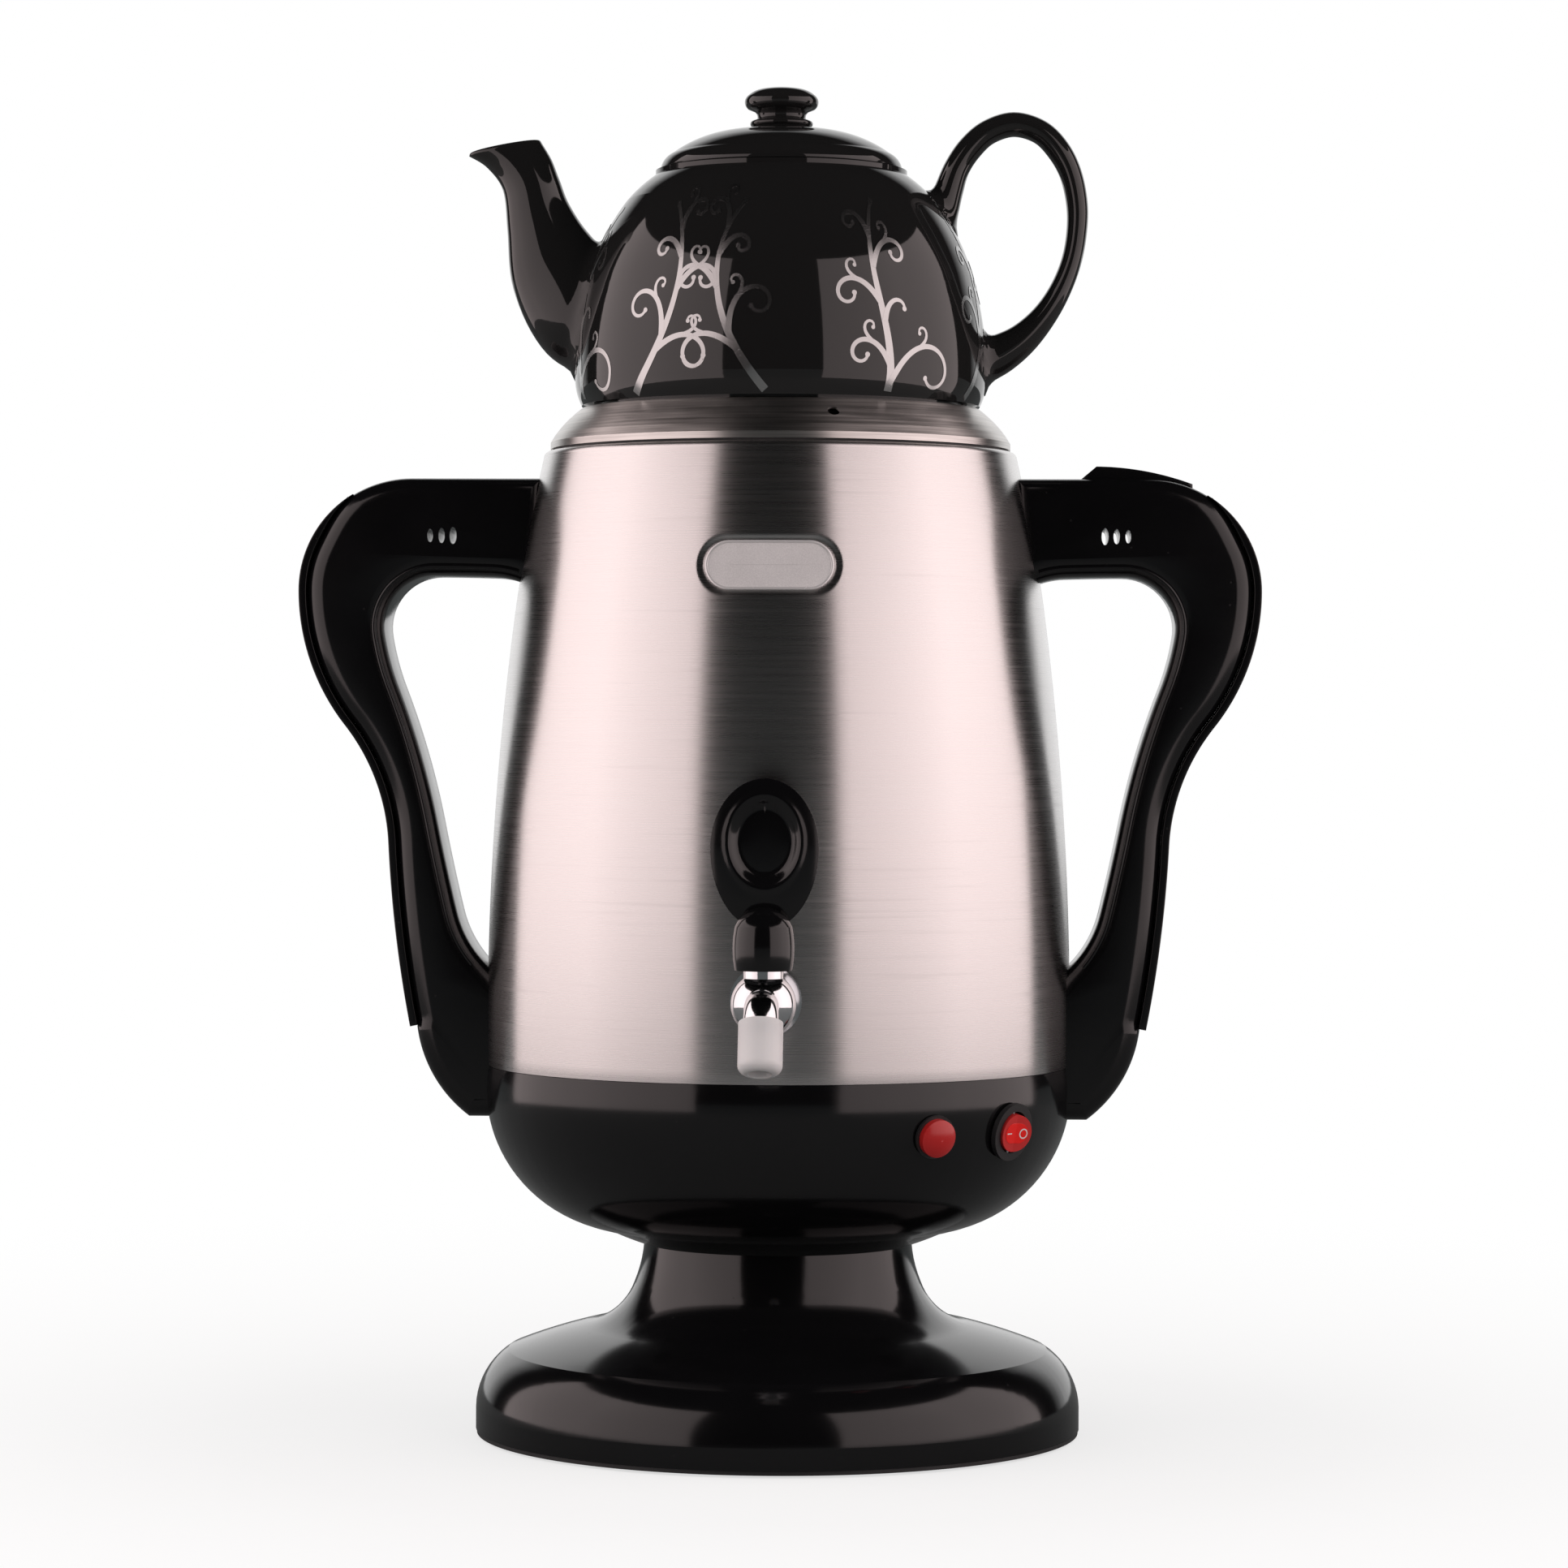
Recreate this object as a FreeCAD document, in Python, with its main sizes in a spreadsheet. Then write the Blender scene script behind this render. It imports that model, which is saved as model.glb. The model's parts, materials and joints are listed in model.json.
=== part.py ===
import FreeCAD, Part
import math
import os

import Sketcher
from FreeCAD import Placement, Rotation, Vector

# Electric samovar. Millimetres, +Z up, front towards -Y, origin on the axis where the feet stand.

# Driving sizes: alias, value, meaning
SIZES = (
    ("foot_rise", 1.0, "gap between table and base plate"),
    ("foot_r", 9.0, "rubber foot radius"),
    ("foot_recess", 1.2, "depth of a foot's recess in the base plate"),
    ("foot_circle", 92.0, "radius of the circle the feet lie on"),
    ("foot_play", 0.1, "radial play of a foot in its recess"),
    ("plate_flange", 1.6, "height of the base plate's visible rim"),
    ("plate_spigot", 2.0, "height of the base plate inside the pedestal"),
    ("plate_play", 0.3, "radial play of the base plate in the pedestal"),
    ("plate_screw_circle", 104.0, "radius of the circle the base screws lie on"),
    ("screw_r", 1.9, "self-tapping screw radius"),
    ("screw_play", 0.1, "radial play round a screw"),
    ("screw_head_r", 3.6, "screw head radius"),
    ("screw_head", 2.0, "screw head height"),
    ("boss_r", 5.0, "screw boss radius"),
    ("base_screw_length", 14.0, "base screw length under its head"),
    ("plastic_wall", 3.0, "wall of the pedestal, bowl and handles"),
    ("rim_r", 118.6, "pedestal rim radius"),
    ("rim_setback", 0.4, "how far the base plate stays inside the rim"),
    ("rim_z", 11.0, "top of the pedestal's straight rim"),
    ("shoulder_r", 106.0, "pedestal shoulder radius"),
    ("shoulder_z", 33.3, "pedestal shoulder height"),
    ("shoulder_round", 27.2, "rounding from rim to shoulder"),
    ("crown_r", 76.0, "inner edge of the pedestal's shallow top"),
    ("crown_z", 42.6, "height of that edge"),
    ("crown_round", 198.9, "rounding of the shallow top"),
    ("waist_r", 56.4, "waist radius"),
    ("waist_z", 59.4, "waist height"),
    ("cove_round", 26.1, "hollow between top and waist"),
    ("neck_r", 52.7, "neck radius where bowl meets pedestal"),
    ("neck_z", 75.0, "neck height"),
    ("neck_round", 51.1, "hollow between waist and neck"),
    ("bowl_foot_r", 67.9, "radius where the bowl's round begins"),
    ("bowl_foot_z", 81.0, "height where the bowl's round begins"),
    ("bowl_foot_round", 127.2, "rounding of the bowl's foot"),
    ("bowl_r", 114.3, "bowl radius at its top"),
    ("bowl_top_z", 145.0, "bowl top where the steel starts"),
    ("bowl_round", 55.7, "rounding of the bowl"),
    ("lip_rise", 8.0, "lip of the bowl inside the steel shell"),
    ("lip_wall", 2.6, "lip thickness"),
    ("fit_gap", 0.3, "assembly clearance"),
    ("trim_gap", 0.2, "clearance of pieces trimmed to the body"),
    ("shell_r", 114.4, "steel shell radius at its bottom"),
    ("shell_wall", 1.0, "steel shell thickness"),
    ("shell_mid_r", 103.6, "steel shell radius at the handles"),
    ("shell_mid_z", 327.0, "height of that radius"),
    ("shell_round", 1250.0, "long curve of the steel shell"),
    ("shell_top_r", 92.6, "steel shell radius at its top"),
    ("shell_top_z", 385.6, "top of the steel shell"),
    ("shell_top_round", 700.0, "curve of the shell's upper part"),
    ("mouth_r", 84.0, "radius of the filling mouth"),
    ("tank_r", 83.6, "inner tank radius"),
    ("tank_wall", 0.8, "inner tank thickness"),
    ("tank_bottom_z", 158.0, "underside of the inner tank"),
    ("tank_rim_r", 90.6, "radius of the inner tank's rim"),
    ("gasket", 1.0, "thickness of the flat seals"),
    ("plate_r", 55.0, "heating plate radius"),
    ("heater_plate", 3.0, "heating plate thickness"),
    ("element_ring_r", 42.0, "radius of the heating element's ring"),
    ("element_r", 3.3, "radius of the heating element's sheath"),
    ("element_arc", 320.0, "turn of the heating element in degrees"),
    ("element_tail", 5.0, "length of the element's ends"),
    ("tie_r", 3.0, "tie rod radius"),
    ("tie_end_z", 64.0, "lower end of the tie rod"),
    ("tie_nut", 5.0, "tie nut height"),
    ("tie_nut_width", 10.0, "tie nut width across its corners"),
    ("shield_r", 95.0, "radius of the heat shield's dish"),
    ("shield_z", 141.0, "floor of the heat shield"),
    ("shield_wall", 0.8, "heat shield thickness"),
    ("thermostat_r", 11.0, "thermostat radius"),
    ("thermostat_height", 9.0, "thermostat height"),
    ("thermostat_place", 22.0, "distance of the thermostat from the axis"),
    ("cutout_r", 8.0, "thermal cut-out radius"),
    ("cutout_height", 7.0, "thermal cut-out height"),
    ("inlet_width", 27.0, "width of the power inlet's body"),
    ("inlet_height", 20.0, "height of the power inlet's body"),
    ("inlet_z", 124.0, "height of the power inlet"),
    ("inlet_face_y", 103.0, "place of the inlet's seat behind the axis"),
    ("inlet_flange", 2.5, "inlet flange thickness"),
    ("inlet_flange_rim", 2.5, "how far the inlet flange stands out round the body"),
    ("inlet_depth", 22.0, "depth of the inlet's body"),
    ("inlet_wall", 2.0, "wall of the inlet socket"),
    ("socket_depth", 16.0, "depth of the inlet socket"),
    ("inlet_play", 0.2, "play of the inlet in its window"),
    ("inlet_block_rim", 6.0, "plastic round the inlet's window"),
    ("inlet_block", 9.0, "depth of the plastic behind the inlet's seat"),
    ("blade_width", 4.0, "inlet blade width"),
    ("blade_thickness", 2.0, "inlet blade thickness"),
    ("blade_pitch", 7.0, "inlet blade spacing"),
    ("blade_tab", 7.0, "length of a blade's tab behind the inlet"),
    ("control_z", 125.0, "height of lamp and switch"),
    ("lamp_azimuth", 33.0, "pilot lamp, degrees right of the front"),
    ("lamp_r", 7.2, "pilot lamp lens radius"),
    ("lamp_head", 2.4, "height of the lens's side"),
    ("lamp_dome", 2.2, "rise of the lens's dome"),
    ("lamp_wall", 1.2, "lens wall"),
    ("lamp_bezel_r", 8.3, "pilot lamp bezel radius"),
    ("lamp_bezel", 1.2, "pilot lamp bezel thickness"),
    ("lamp_barrel_r", 6.0, "pilot lamp barrel radius"),
    ("lamp_barrel", 13.0, "pilot lamp barrel length"),
    ("switch_azimuth", 52.5, "rocker switch, degrees right of the front"),
    ("switch_flange_r", 11.1, "rocker switch flange radius"),
    ("switch_flange", 2.0, "rocker switch flange thickness"),
    ("switch_barrel_r", 9.9, "rocker switch barrel radius"),
    ("switch_barrel", 12.0, "rocker switch barrel length"),
    ("rocker_r", 7.2, "rocker radius"),
    ("rocker_play", 0.9, "gap round the rocker"),
    ("rocker_height", 2.6, "rocker height above its flange"),
    ("rocker_dip", 1.3, "hollow in the middle of the rocker"),
    ("rocker_depth", 4.5, "depth of the rocker below its flange"),
    ("rocker_pivot", 2.0, "depth of the rocker's pivot below the flange face"),
    ("rocker_tilt", 11.0, "tilt of the rocker at rest in degrees"),
    ("rocker_pin_r", 0.9, "rocker pin radius"),
    ("pin_play", 0.05, "radial play round a hinge pin"),
    ("terminal_length", 7.0, "switch terminal length"),
    ("terminal_width", 4.8, "switch terminal width"),
    ("terminal_thickness", 0.8, "switch terminal thickness"),
    ("terminal_pitch", 5.0, "switch terminal spacing"),
    ("badge_width", 48.6, "badge plate width"),
    ("badge_height", 18.6, "badge plate height"),
    ("badge_z", 338.4, "height of the badge"),
    ("badge_rise", 0.5, "how far the badge stands out of the shell"),
    ("badge_recess_width", 55.0, "width of the pressed recess"),
    ("badge_recess_height", 23.0, "height of the pressed recess"),
    ("badge_recess", 0.5, "depth of the pressed recess"),
    ("lid_r", 90.5, "lid radius at its bead"),
    ("lid_bead", 2.6, "height of the lid's bead"),
    ("lid_band_r", 88.6, "radius at the foot of the lid's band"),
    ("lid_band_z", 392.3, "height at the foot of the lid's band"),
    ("lid_top_r", 78.4, "radius at the top of the lid's band"),
    ("lid_top_z", 402.6, "height at the top of the lid's band"),
    ("lid_round", 47.1, "rounding of the lid's band"),
    ("lid_wall", 1.0, "lid sheet thickness"),
    ("seat_r", 73.6, "radius of the teapot's seat in the lid"),
    ("seat_z", 394.0, "height of the teapot's seat"),
    ("skirt_r", 81.4, "radius of the lid's skirt"),
    ("skirt_depth", 14.0, "depth of the lid's skirt"),
    ("steam_hole_r", 5.0, "steam hole radius"),
    ("steam_circle", 48.0, "radius of the circle the steam holes lie on"),
    ("vent_r", 2.35, "vent hole radius in the band"),
    ("vent_azimuth", 16.0, "vent hole, degrees right of the front"),
    ("vent_z", 396.3, "vent hole height"),
    ("pot_wall", 3.5, "teapot wall"),
    ("pot_foot_r", 71.6, "teapot foot radius"),
    ("pot_foot_width", 6.0, "teapot foot width"),
    ("pot_foot_recess", 1.5, "hollow under the teapot"),
    ("pot_edge_r", 78.4, "radius of the teapot's lower edge"),
    ("pot_edge_z", 403.8, "height of the teapot's lower edge"),
    ("pot_edge_round", 23.8, "rounding of the lower edge"),
    ("pot_r", 81.0, "teapot radius"),
    ("pot_r_z", 413.0, "height of the widest part"),
    ("pot_side_round", 136.6, "rounding of the teapot's side"),
    ("pot_side_r", 77.0, "teapot radius half way up"),
    ("pot_side_z", 450.0, "height half way up"),
    ("pot_shoulder_round", 89.0, "rounding of the shoulder"),
    ("pot_shoulder_r", 61.0, "shoulder radius"),
    ("pot_shoulder_z", 484.5, "shoulder height"),
    ("pot_top_round", 54.8, "rounding over the shoulder"),
    ("pot_top_r", 49.6, "radius at the teapot's rim"),
    ("pot_top_z", 494.8, "height under the teapot's rim"),
    ("pot_rim", 1.8, "height of the teapot's rim"),
    ("pot_mouth_r", 43.8, "teapot mouth radius"),
    ("pot_lid_r", 47.6, "teapot lid radius"),
    ("pot_lid_rim", 3.2, "height of the lid's rim"),
    ("pot_lid_edge_r", 43.5, "radius where the dome starts"),
    ("pot_lid_edge", 4.0, "rise of the lid's rounded edge"),
    ("pot_lid_dome_r", 20.0, "radius where the dome ends"),
    ("pot_lid_dome_z", 512.6, "height where the dome ends"),
    ("pot_lid_dome_round", 46.0, "rounding of the dome"),
    ("pot_lid_skirt_r", 43.2, "radius of the lid's skirt"),
    ("pot_lid_skirt", 9.6, "depth of the lid's skirt"),
    ("pot_lid_wall", 3.2, "teapot lid wall"),
    ("knob_neck_r", 9.7, "knob neck radius"),
    ("knob_neck_z", 515.8, "knob neck height"),
    ("knob_neck_round", 17.8, "hollow under the knob"),
    ("knob_r", 14.1, "knob radius"),
    ("knob_z", 523.4, "height of the knob's widest part"),
    ("knob_round", 9.5, "rounding under the knob's edge"),
    ("knob_top_r", 8.0, "radius of the knob's crown"),
    ("knob_top_z", 529.0, "height of the knob's crown"),
    ("knob_top_round", 6.9, "rounding over the knob's edge"),
    ("total_height", 530.0, "height of the whole samovar"),
    ("ear_x", 69.0, "where the teapot handle rises"),
    ("ear_foot_z", 474.0, "height where the handle leaves the pot"),
    ("ear_z", 493.5, "height of the centre of the handle's upper bend"),
    ("ear_bend", 23.1, "radius of the upper bend"),
    ("ear_straight", 10.0, "straight run at the handle's back"),
    ("ear_sweep", 70.8, "radius of the lower bend"),
    ("ear_sweep_turn", 62.0, "turn of the lower bend in degrees"),
    ("ear_thick", 4.7, "half the handle's thickness"),
    ("ear_wide", 7.4, "half the handle's width"),
    ("strainer_hole_r", 2.0, "strainer hole radius"),
    ("strainer_pitch", 7.0, "strainer hole spacing"),
    ("strainer_z", 436.0, "height of the strainer"),
    ("spout_wall", 3.0, "spout wall"),
    ("tap_z", 176.6, "height of the tap's shank"),
    ("tap_y", 140.0, "distance of the tap's ball before the axis"),
    ("ball_r", 12.0, "tap ball radius"),
    ("tap_neck_r", 7.35, "tap neck radius"),
    ("tap_neck_z", 189.0, "top of the tap's neck"),
    ("chamber_r", 5.9, "tap chamber radius"),
    ("chamber_z", 171.0, "floor of the tap's chamber"),
    ("shank_r", 8.0, "tap shank radius"),
    ("shank_end_y", 71.0, "inner end of the tap's shank"),
    ("shank_bore_r", 4.5, "bore of the tap's shank"),
    ("shank_play", 0.6, "play of the shank in the walls"),
    ("rose_r", 13.35, "escutcheon radius"),
    ("rose", 3.0, "escutcheon thickness"),
    ("rose_y", 116.8, "back of the escutcheon"),
    ("washer_r", 12.0, "tap washer radius"),
    ("tap_nut", 6.0, "tap nut thickness"),
    ("tap_nut_width", 27.0, "tap nut width across its corners"),
    ("inner_washer", 3.0, "thickness of the washer in the tank"),
    ("spout_start", 12.0, "straight run of the tap's spout"),
    ("spout_bend", 9.0, "bend radius of the tap's spout"),
    ("spout_turn", 68.0, "turn of the tap's spout in degrees"),
    ("spout_r", 6.45, "tap spout radius"),
    ("spout_bore_r", 4.0, "bore of the tap's spout"),
    ("spout_tail", 6.0, "straight end of the tap's spout"),
    ("nozzle_r", 8.15, "nozzle radius"),
    ("nozzle_length", 19.5, "nozzle length"),
    ("nozzle_bore_r", 4.6, "nozzle bore radius"),
    ("nozzle_round", 3.5, "rounding of the nozzle's end"),
    ("bonnet_end_r", 10.5, "tap bonnet radius at its ends"),
    ("bonnet_wall", 2.0, "tap bonnet wall"),
    ("bonnet_side_z", 205.0, "height where the bonnet's dome starts"),
    ("bonnet_top_z", 212.0, "top of the tap's bonnet"),
    ("bonnet_side_round", 40.0, "bulge of the bonnet's side"),
    ("bonnet_floor", 2.0, "floor of the tap's bonnet"),
    ("stem_r", 2.0, "valve stem radius"),
    ("stem_play", 0.3, "play of the stem in the bonnet's floor"),
    ("stem_head_r", 3.2, "valve stem head radius"),
    ("stem_head", 1.6, "valve stem head thickness"),
    ("stem_lift_gap", 1.2, "free travel between fork and stem head"),
    ("cup_r", 5.5, "seat cup radius"),
    ("cup", 5.0, "seat cup height"),
    ("spring_r", 4.2, "tap spring radius"),
    ("spring_wire_r", 0.45, "tap spring wire radius"),
    ("spring_turns", 5.0, "turns of the tap spring"),
    ("pivot_y", 133.5, "distance of the lever's pivot before the axis"),
    ("pivot_z", 197.3, "height of the lever's pivot"),
    ("lever_pin_r", 1.25, "lever pin radius"),
    ("lever_pin_reach", 9.0, "half the lever pin's length"),
    ("hub_r", 3.3, "lever hub radius"),
    ("hub_reach", 5.4, "half the lever hub's width"),
    ("slot_reach", 6.1, "half the slot for the lever"),
    ("slot_front_y", 138.2, "front of the slot for the lever"),
    ("fork_reach", 8.6, "reach of the lever's fork before the pivot"),
    ("fork", 2.6, "thickness of the lever's fork"),
    ("fork_slot", 2.7, "half the slot of the lever's fork"),
    ("paddle_thickness", 5.5, "lever paddle thickness"),
    ("paddle_back_y", 130.9, "distance of the paddle's back before the axis"),
    ("paddle_reach", 19.5, "half the paddle's width"),
    ("paddle_z", 235.5, "height of the paddle's widest part"),
    ("paddle_top_z", 259.0, "top of the paddle"),
    ("paddle_top_round", 22.0, "rounding of the paddle's top"),
    ("paddle_side_round", 34.0, "rounding of the paddle's lower sides"),
    ("paddle_neck_z", 209.0, "height where the paddle meets its arm"),
    ("dish_r", 45.0, "rounding of the thumb dish"),
    ("dish_depth", 1.8, "depth of the thumb dish"),
    ("grip_reach", 188.4, "reach of the handles from the axis"),
    ("grip_half", 20.0, "half the depth of a handle"),
    ("grip_round", 4.5, "rounding of a handle's edges"),
    ("grip_root_x", 80.0, "where a handle's outline starts inside the body"),
    ("grip_top_z", 375.0, "top of a handle"),
    ("grip_corner_round", 44.0, "rounding of a handle's shoulder"),
    ("grip_cover_x", 167.2, "upper end of a handle's cover"),
    ("grip_bulge_x", 170.0, "where the bulge turns into the waist"),
    ("grip_bulge_z", 278.0, "height of that turn"),
    ("grip_waist_x", 152.7, "outer edge at the waist"),
    ("grip_waist_z", 231.9, "height of the waist"),
    ("grip_step_x", 143.9, "outer edge at the cover's lower end"),
    ("grip_step_z", 160.0, "height of the cover's lower end"),
    ("grip_step", 2.4, "step under the cover"),
    ("grip_foot_x", 120.9, "outer edge at the foot"),
    ("grip_foot_z", 127.0, "height of the foot's outer edge"),
    ("grip_foot_round", 51.6, "rounding of the foot"),
    ("grip_foot_end_z", 124.5, "lowest point of a handle"),
    ("gap_foot_x", 114.0, "lower end of the hand gap beside the body"),
    ("gap_foot_z", 184.0, "height of the gap's lower end"),
    ("gap_low_x", 125.8, "gap above its lower end"),
    ("gap_low_z", 205.0, "height above the gap's lower end"),
    ("gap_waist_x", 133.4, "gap at the waist"),
    ("gap_waist_z", 239.5, "height of the gap's waist"),
    ("gap_bulge_x", 148.8, "gap below its widest part"),
    ("gap_bulge_z", 292.6, "height below the widest part"),
    ("gap_side_x", 154.5, "widest part of the gap"),
    ("gap_side_z", 313.5, "height of the gap's widest part"),
    ("gap_corner_x", 134.7, "end of the gap's outer corner"),
    ("gap_corner_z", 336.8, "height of the gap's top"),
    ("gap_rise_x", 112.0, "gap's top beside the body"),
    ("gap_rise_z", 336.4, "height of the gap's top beside the body"),
    ("gap_top_x", 93.0, "end of the gap's top inside the body"),
    ("gap_top_z", 329.5, "height of that end"),
    ("grip_end_wall", 13.0, "solid end of a handle at the body"),
    ("slot_width", 2.6, "vent slot width"),
    ("slot_height", 6.6, "vent slot height"),
    ("slot_pitch", 4.5, "vent slot spacing"),
    ("slot_x", 131.8, "place of the middle vent slot"),
    ("slot_z", 352.3, "height of the vent slots"),
    ("grip_screw_y", 10.0, "handle screws beside the middle"),
    ("grip_screw_top_z", 346.0, "height of the upper handle screws"),
    ("grip_screw_low_z", 162.0, "height of the lower handle screws"),
    ("grip_screw_length", 12.0, "handle screw length under its head"),
    ("button_start_x", 117.3, "inner end of the thumb button"),
    ("button_peak_x", 124.1, "ridge of the thumb button"),
    ("button_peak_z", 380.1, "height of the ridge"),
    ("button_end_x", 161.6, "outer end of the thumb button"),
    ("button_end_z", 373.2, "height at the outer end"),
    ("button_round", 110.0, "rounding of the button's top"),
    ("button_half", 12.0, "half the button's width"),
    ("button_play", 0.6, "gap round the button"),
    ("button_bottom_z", 367.6, "underside of the button"),
    ("button_well", 4.0, "depth of the well under the button"),
    ("button_pin_x", 156.5, "place of the button's pin"),
    ("button_pin_z", 370.0, "height of the button's pin"),
    ("button_pin_r", 1.0, "button pin radius"),
    ("button_pin_reach", 14.5, "half the button pin's length"),
    ("button_block", 5.0, "plastic round the button's well"),
    ("button_spring_r", 2.6, "button spring radius"),
    ("button_spring_wire_r", 0.3, "button spring wire radius"),
    ("button_spring_turns", 4.0, "turns of the button spring"),
    ("wire_r", 1.6, "radius of the insulated wires"),
    ("wire_ring_r", 77.5, "radius of the wires' run round the bowl"),
)

doc = FreeCAD.newDocument("Samovar")
sheet = doc.addObject("Spreadsheet::Sheet", "Sizes")
for row, (alias, value, meaning) in enumerate(SIZES, start=1):
    sheet.set(f"A{row}", alias)
    sheet.set(f"B{row}", str(value))
    sheet.set(f"C{row}", meaning)
    sheet.setAlias(f"B{row}", alias)
doc.recompute()


class Size:
    """A number with the expression that binds it to the sheet."""

    def __init__(self, value, text):
        self.value = float(value)
        self.text = text

    def __add__(self, other):
        other = as_size(other)
        return Size(self.value + other.value, f"({self.text} + {other.text})")

    def __sub__(self, other):
        other = as_size(other)
        return Size(self.value - other.value, f"({self.text} - {other.text})")

    def __mul__(self, other):
        other = as_size(other)
        return Size(self.value * other.value, f"({self.text} * {other.text})")

    def __truediv__(self, other):
        other = as_size(other)
        return Size(self.value / other.value, f"({self.text} / {other.text})")

    def __neg__(self):
        return Size(-self.value, f"(0 - {self.text})")

    def __radd__(self, other):
        return as_size(other) + self

    def __rsub__(self, other):
        return as_size(other) - self

    def __rmul__(self, other):
        return as_size(other) * self

    def __float__(self):
        return self.value


def as_size(number):
    """Gives a plain number the same form as a named size."""
    if isinstance(number, Size):
        return number
    return Size(number, f"({float(number):.6f})")


class Named:
    """The sheet's sizes as attributes."""

    def __getattr__(self, alias):
        return Size(sheet.get(alias), f"Sizes.{alias}")


S = Named()
PARTS = []


def keep(label, item):
    """Names a finished sub-part and adds it to those written."""
    item.Label = label
    PARTS.append(item)
    return item


# Outlines

def centre_of(start, end, radius):
    """Centre of the arc from start to end: a positive radius turns left, a negative one right."""
    across, up = end[0] - start[0], end[1] - start[1]
    chord = math.hypot(across, up)
    height = math.sqrt(max(radius * radius - chord * chord / 4, 0.0))
    side = math.copysign(1.0, radius)
    return (
        (start[0] + end[0]) / 2 - side * height * up / chord,
        (start[1] + end[1]) / 2 + side * height * across / chord,
    )


def numbers(point):
    """The plain numbers of an outline's point."""
    return tuple(float(item) for item in point)


def headings(start, end):
    """Directions of travel at both ends of a stretch."""
    if len(end) < 3:
        length = math.dist(start[:2], end[:2])
        way = ((end[0] - start[0]) / length, (end[1] - start[1]) / length)
        return way, way
    centre = centre_of(start, end, end[2])
    ways = []
    for point in (start, end):
        ways.append((-(point[1] - centre[1]) / end[2], (point[0] - centre[0]) / end[2]))
    return ways


class Tangent(float):
    """The radius of an arc that leaves the stretch before it without a kink."""


def flowing(chain, heading):
    """Joins a chain's points by arcs that run on smoothly from a heading in degrees."""
    joined = [chain[0]]
    way = math.radians(heading)
    for start, end in zip(chain, chain[1:]):
        across, up = float(end[0]) - float(start[0]), float(end[1]) - float(start[1])
        bend = math.remainder(math.atan2(up, across) - way, 2 * math.pi)
        way += 2 * bend
        joined.append((end[0], end[1], Tangent(math.hypot(across, up) / (2 * math.sin(bend)))))
    return joined


def inset(chain, wall):
    """The chain moved to the left of its travel by a wall's thickness."""
    plain = [numbers(point) for point in chain]
    ways = [headings(plain[k], plain[k + 1]) for k in range(len(plain) - 1)]
    moved = []
    for k, point in enumerate(chain):
        before = ways[k - 1][1] if k else ways[0][0]
        after = ways[k][0] if k < len(ways) else ways[-1][1]
        across = -(before[1] + after[1])
        up = before[0] + after[0]
        scale = 2 / (across * across + up * up)
        place = (point[0] + wall * (across * scale), point[1] + wall * (up * scale))
        moved.append(place + ((point[2] - wall,) if len(point) > 2 else ()))
    return moved


def backwards(chain):
    """The same chain travelled the other way."""
    turned = []
    for k in range(len(chain) - 1, -1, -1):
        place = tuple(chain[k][:2])
        if k + 1 < len(chain) and len(chain[k + 1]) > 2:
            place += (-chain[k + 1][2],)
        turned.append(place)
    return turned


def sheet_outline(chain, wall):
    """A closed outline of a sheet that follows the chain."""
    return list(chain) + backwards(inset(chain, wall))


def origin_plane(body, role):
    """One of the body's own origin planes."""
    return next(item for item in body.Origin.OriginFeatures if item.Role == role)


def draw(body, name, plane, outlines):
    """A sketch of closed outlines, each point tied to the sheet's sizes."""
    sketch = body.newObject("Sketcher::SketchObject", name)
    sketch.AttachmentSupport = [(origin_plane(body, plane), "")]
    sketch.MapMode = "FlatFace"
    rules = []
    bound = []

    def rule(size, *parts):
        rules.append(Sketcher.Constraint(*parts, size.value))
        bound.append((len(rules) - 1, size.text))

    for points in outlines:
        ends = []
        for k, point in enumerate(points):
            start, end = numbers(points[k - 1]), numbers(point)
            if len(end) < 3:
                line = Part.LineSegment(Vector(*start[:2], 0), Vector(*end[:2], 0))
                ends.append((sketch.addGeometry(line), 1, 2))
                continue
            centre = centre_of(start, end, end[2])
            first, last = (start, end) if end[2] > 0 else (end, start)
            angles = [math.atan2(p[1] - centre[1], p[0] - centre[0]) for p in (first, last)]
            circle = Part.Circle(Vector(*centre, 0), Vector(0, 0, 1), abs(end[2]))
            arc = Part.ArcOfCircle(circle, angles[0], angles[1])
            order = (1, 2) if end[2] > 0 else (2, 1)
            ends.append((sketch.addGeometry(arc), *order))
        for k, point in enumerate(points):
            edge, start_at, end_at = ends[k]
            following = ends[(k + 1) % len(points)]
            after = points[(k + 1) % len(points)]
            join = "Tangent" if len(after) > 2 and isinstance(after[2], Tangent) else "Coincident"
            rules.append(Sketcher.Constraint(join, edge, end_at, following[0], following[1]))
            for axis, kind, number in ((-2, "DistanceX", point[0]), (-1, "DistanceY", point[1])):
                size = as_size(number)
                if abs(size.value) < 1e-9:
                    rules.append(Sketcher.Constraint("PointOnObject", edge, end_at, axis))
                else:
                    rule(size, kind, -1, 1, edge, end_at)
            if len(point) > 2 and not isinstance(point[2], Tangent):
                size = as_size(point[2])
                rule(size if size.value > 0 else -size, "Radius", edge)
    sketch.addConstraint(rules)
    for place, text in bound:
        sketch.setExpression(f"Constraints[{place}]", text)
    return sketch


def turned(name, points):
    """A body turned round the vertical axis from an outline of radius and height."""
    body = doc.addObject("PartDesign::Body", name)
    sketch = draw(body, name + "_outline", "XZ_Plane", [points])
    turn = body.newObject("PartDesign::Revolution", name + "_turn")
    turn.Profile = sketch
    turn.ReferenceAxis = (sketch, ["V_Axis"])
    turn.Angle = 360
    doc.recompute()
    return body


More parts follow.
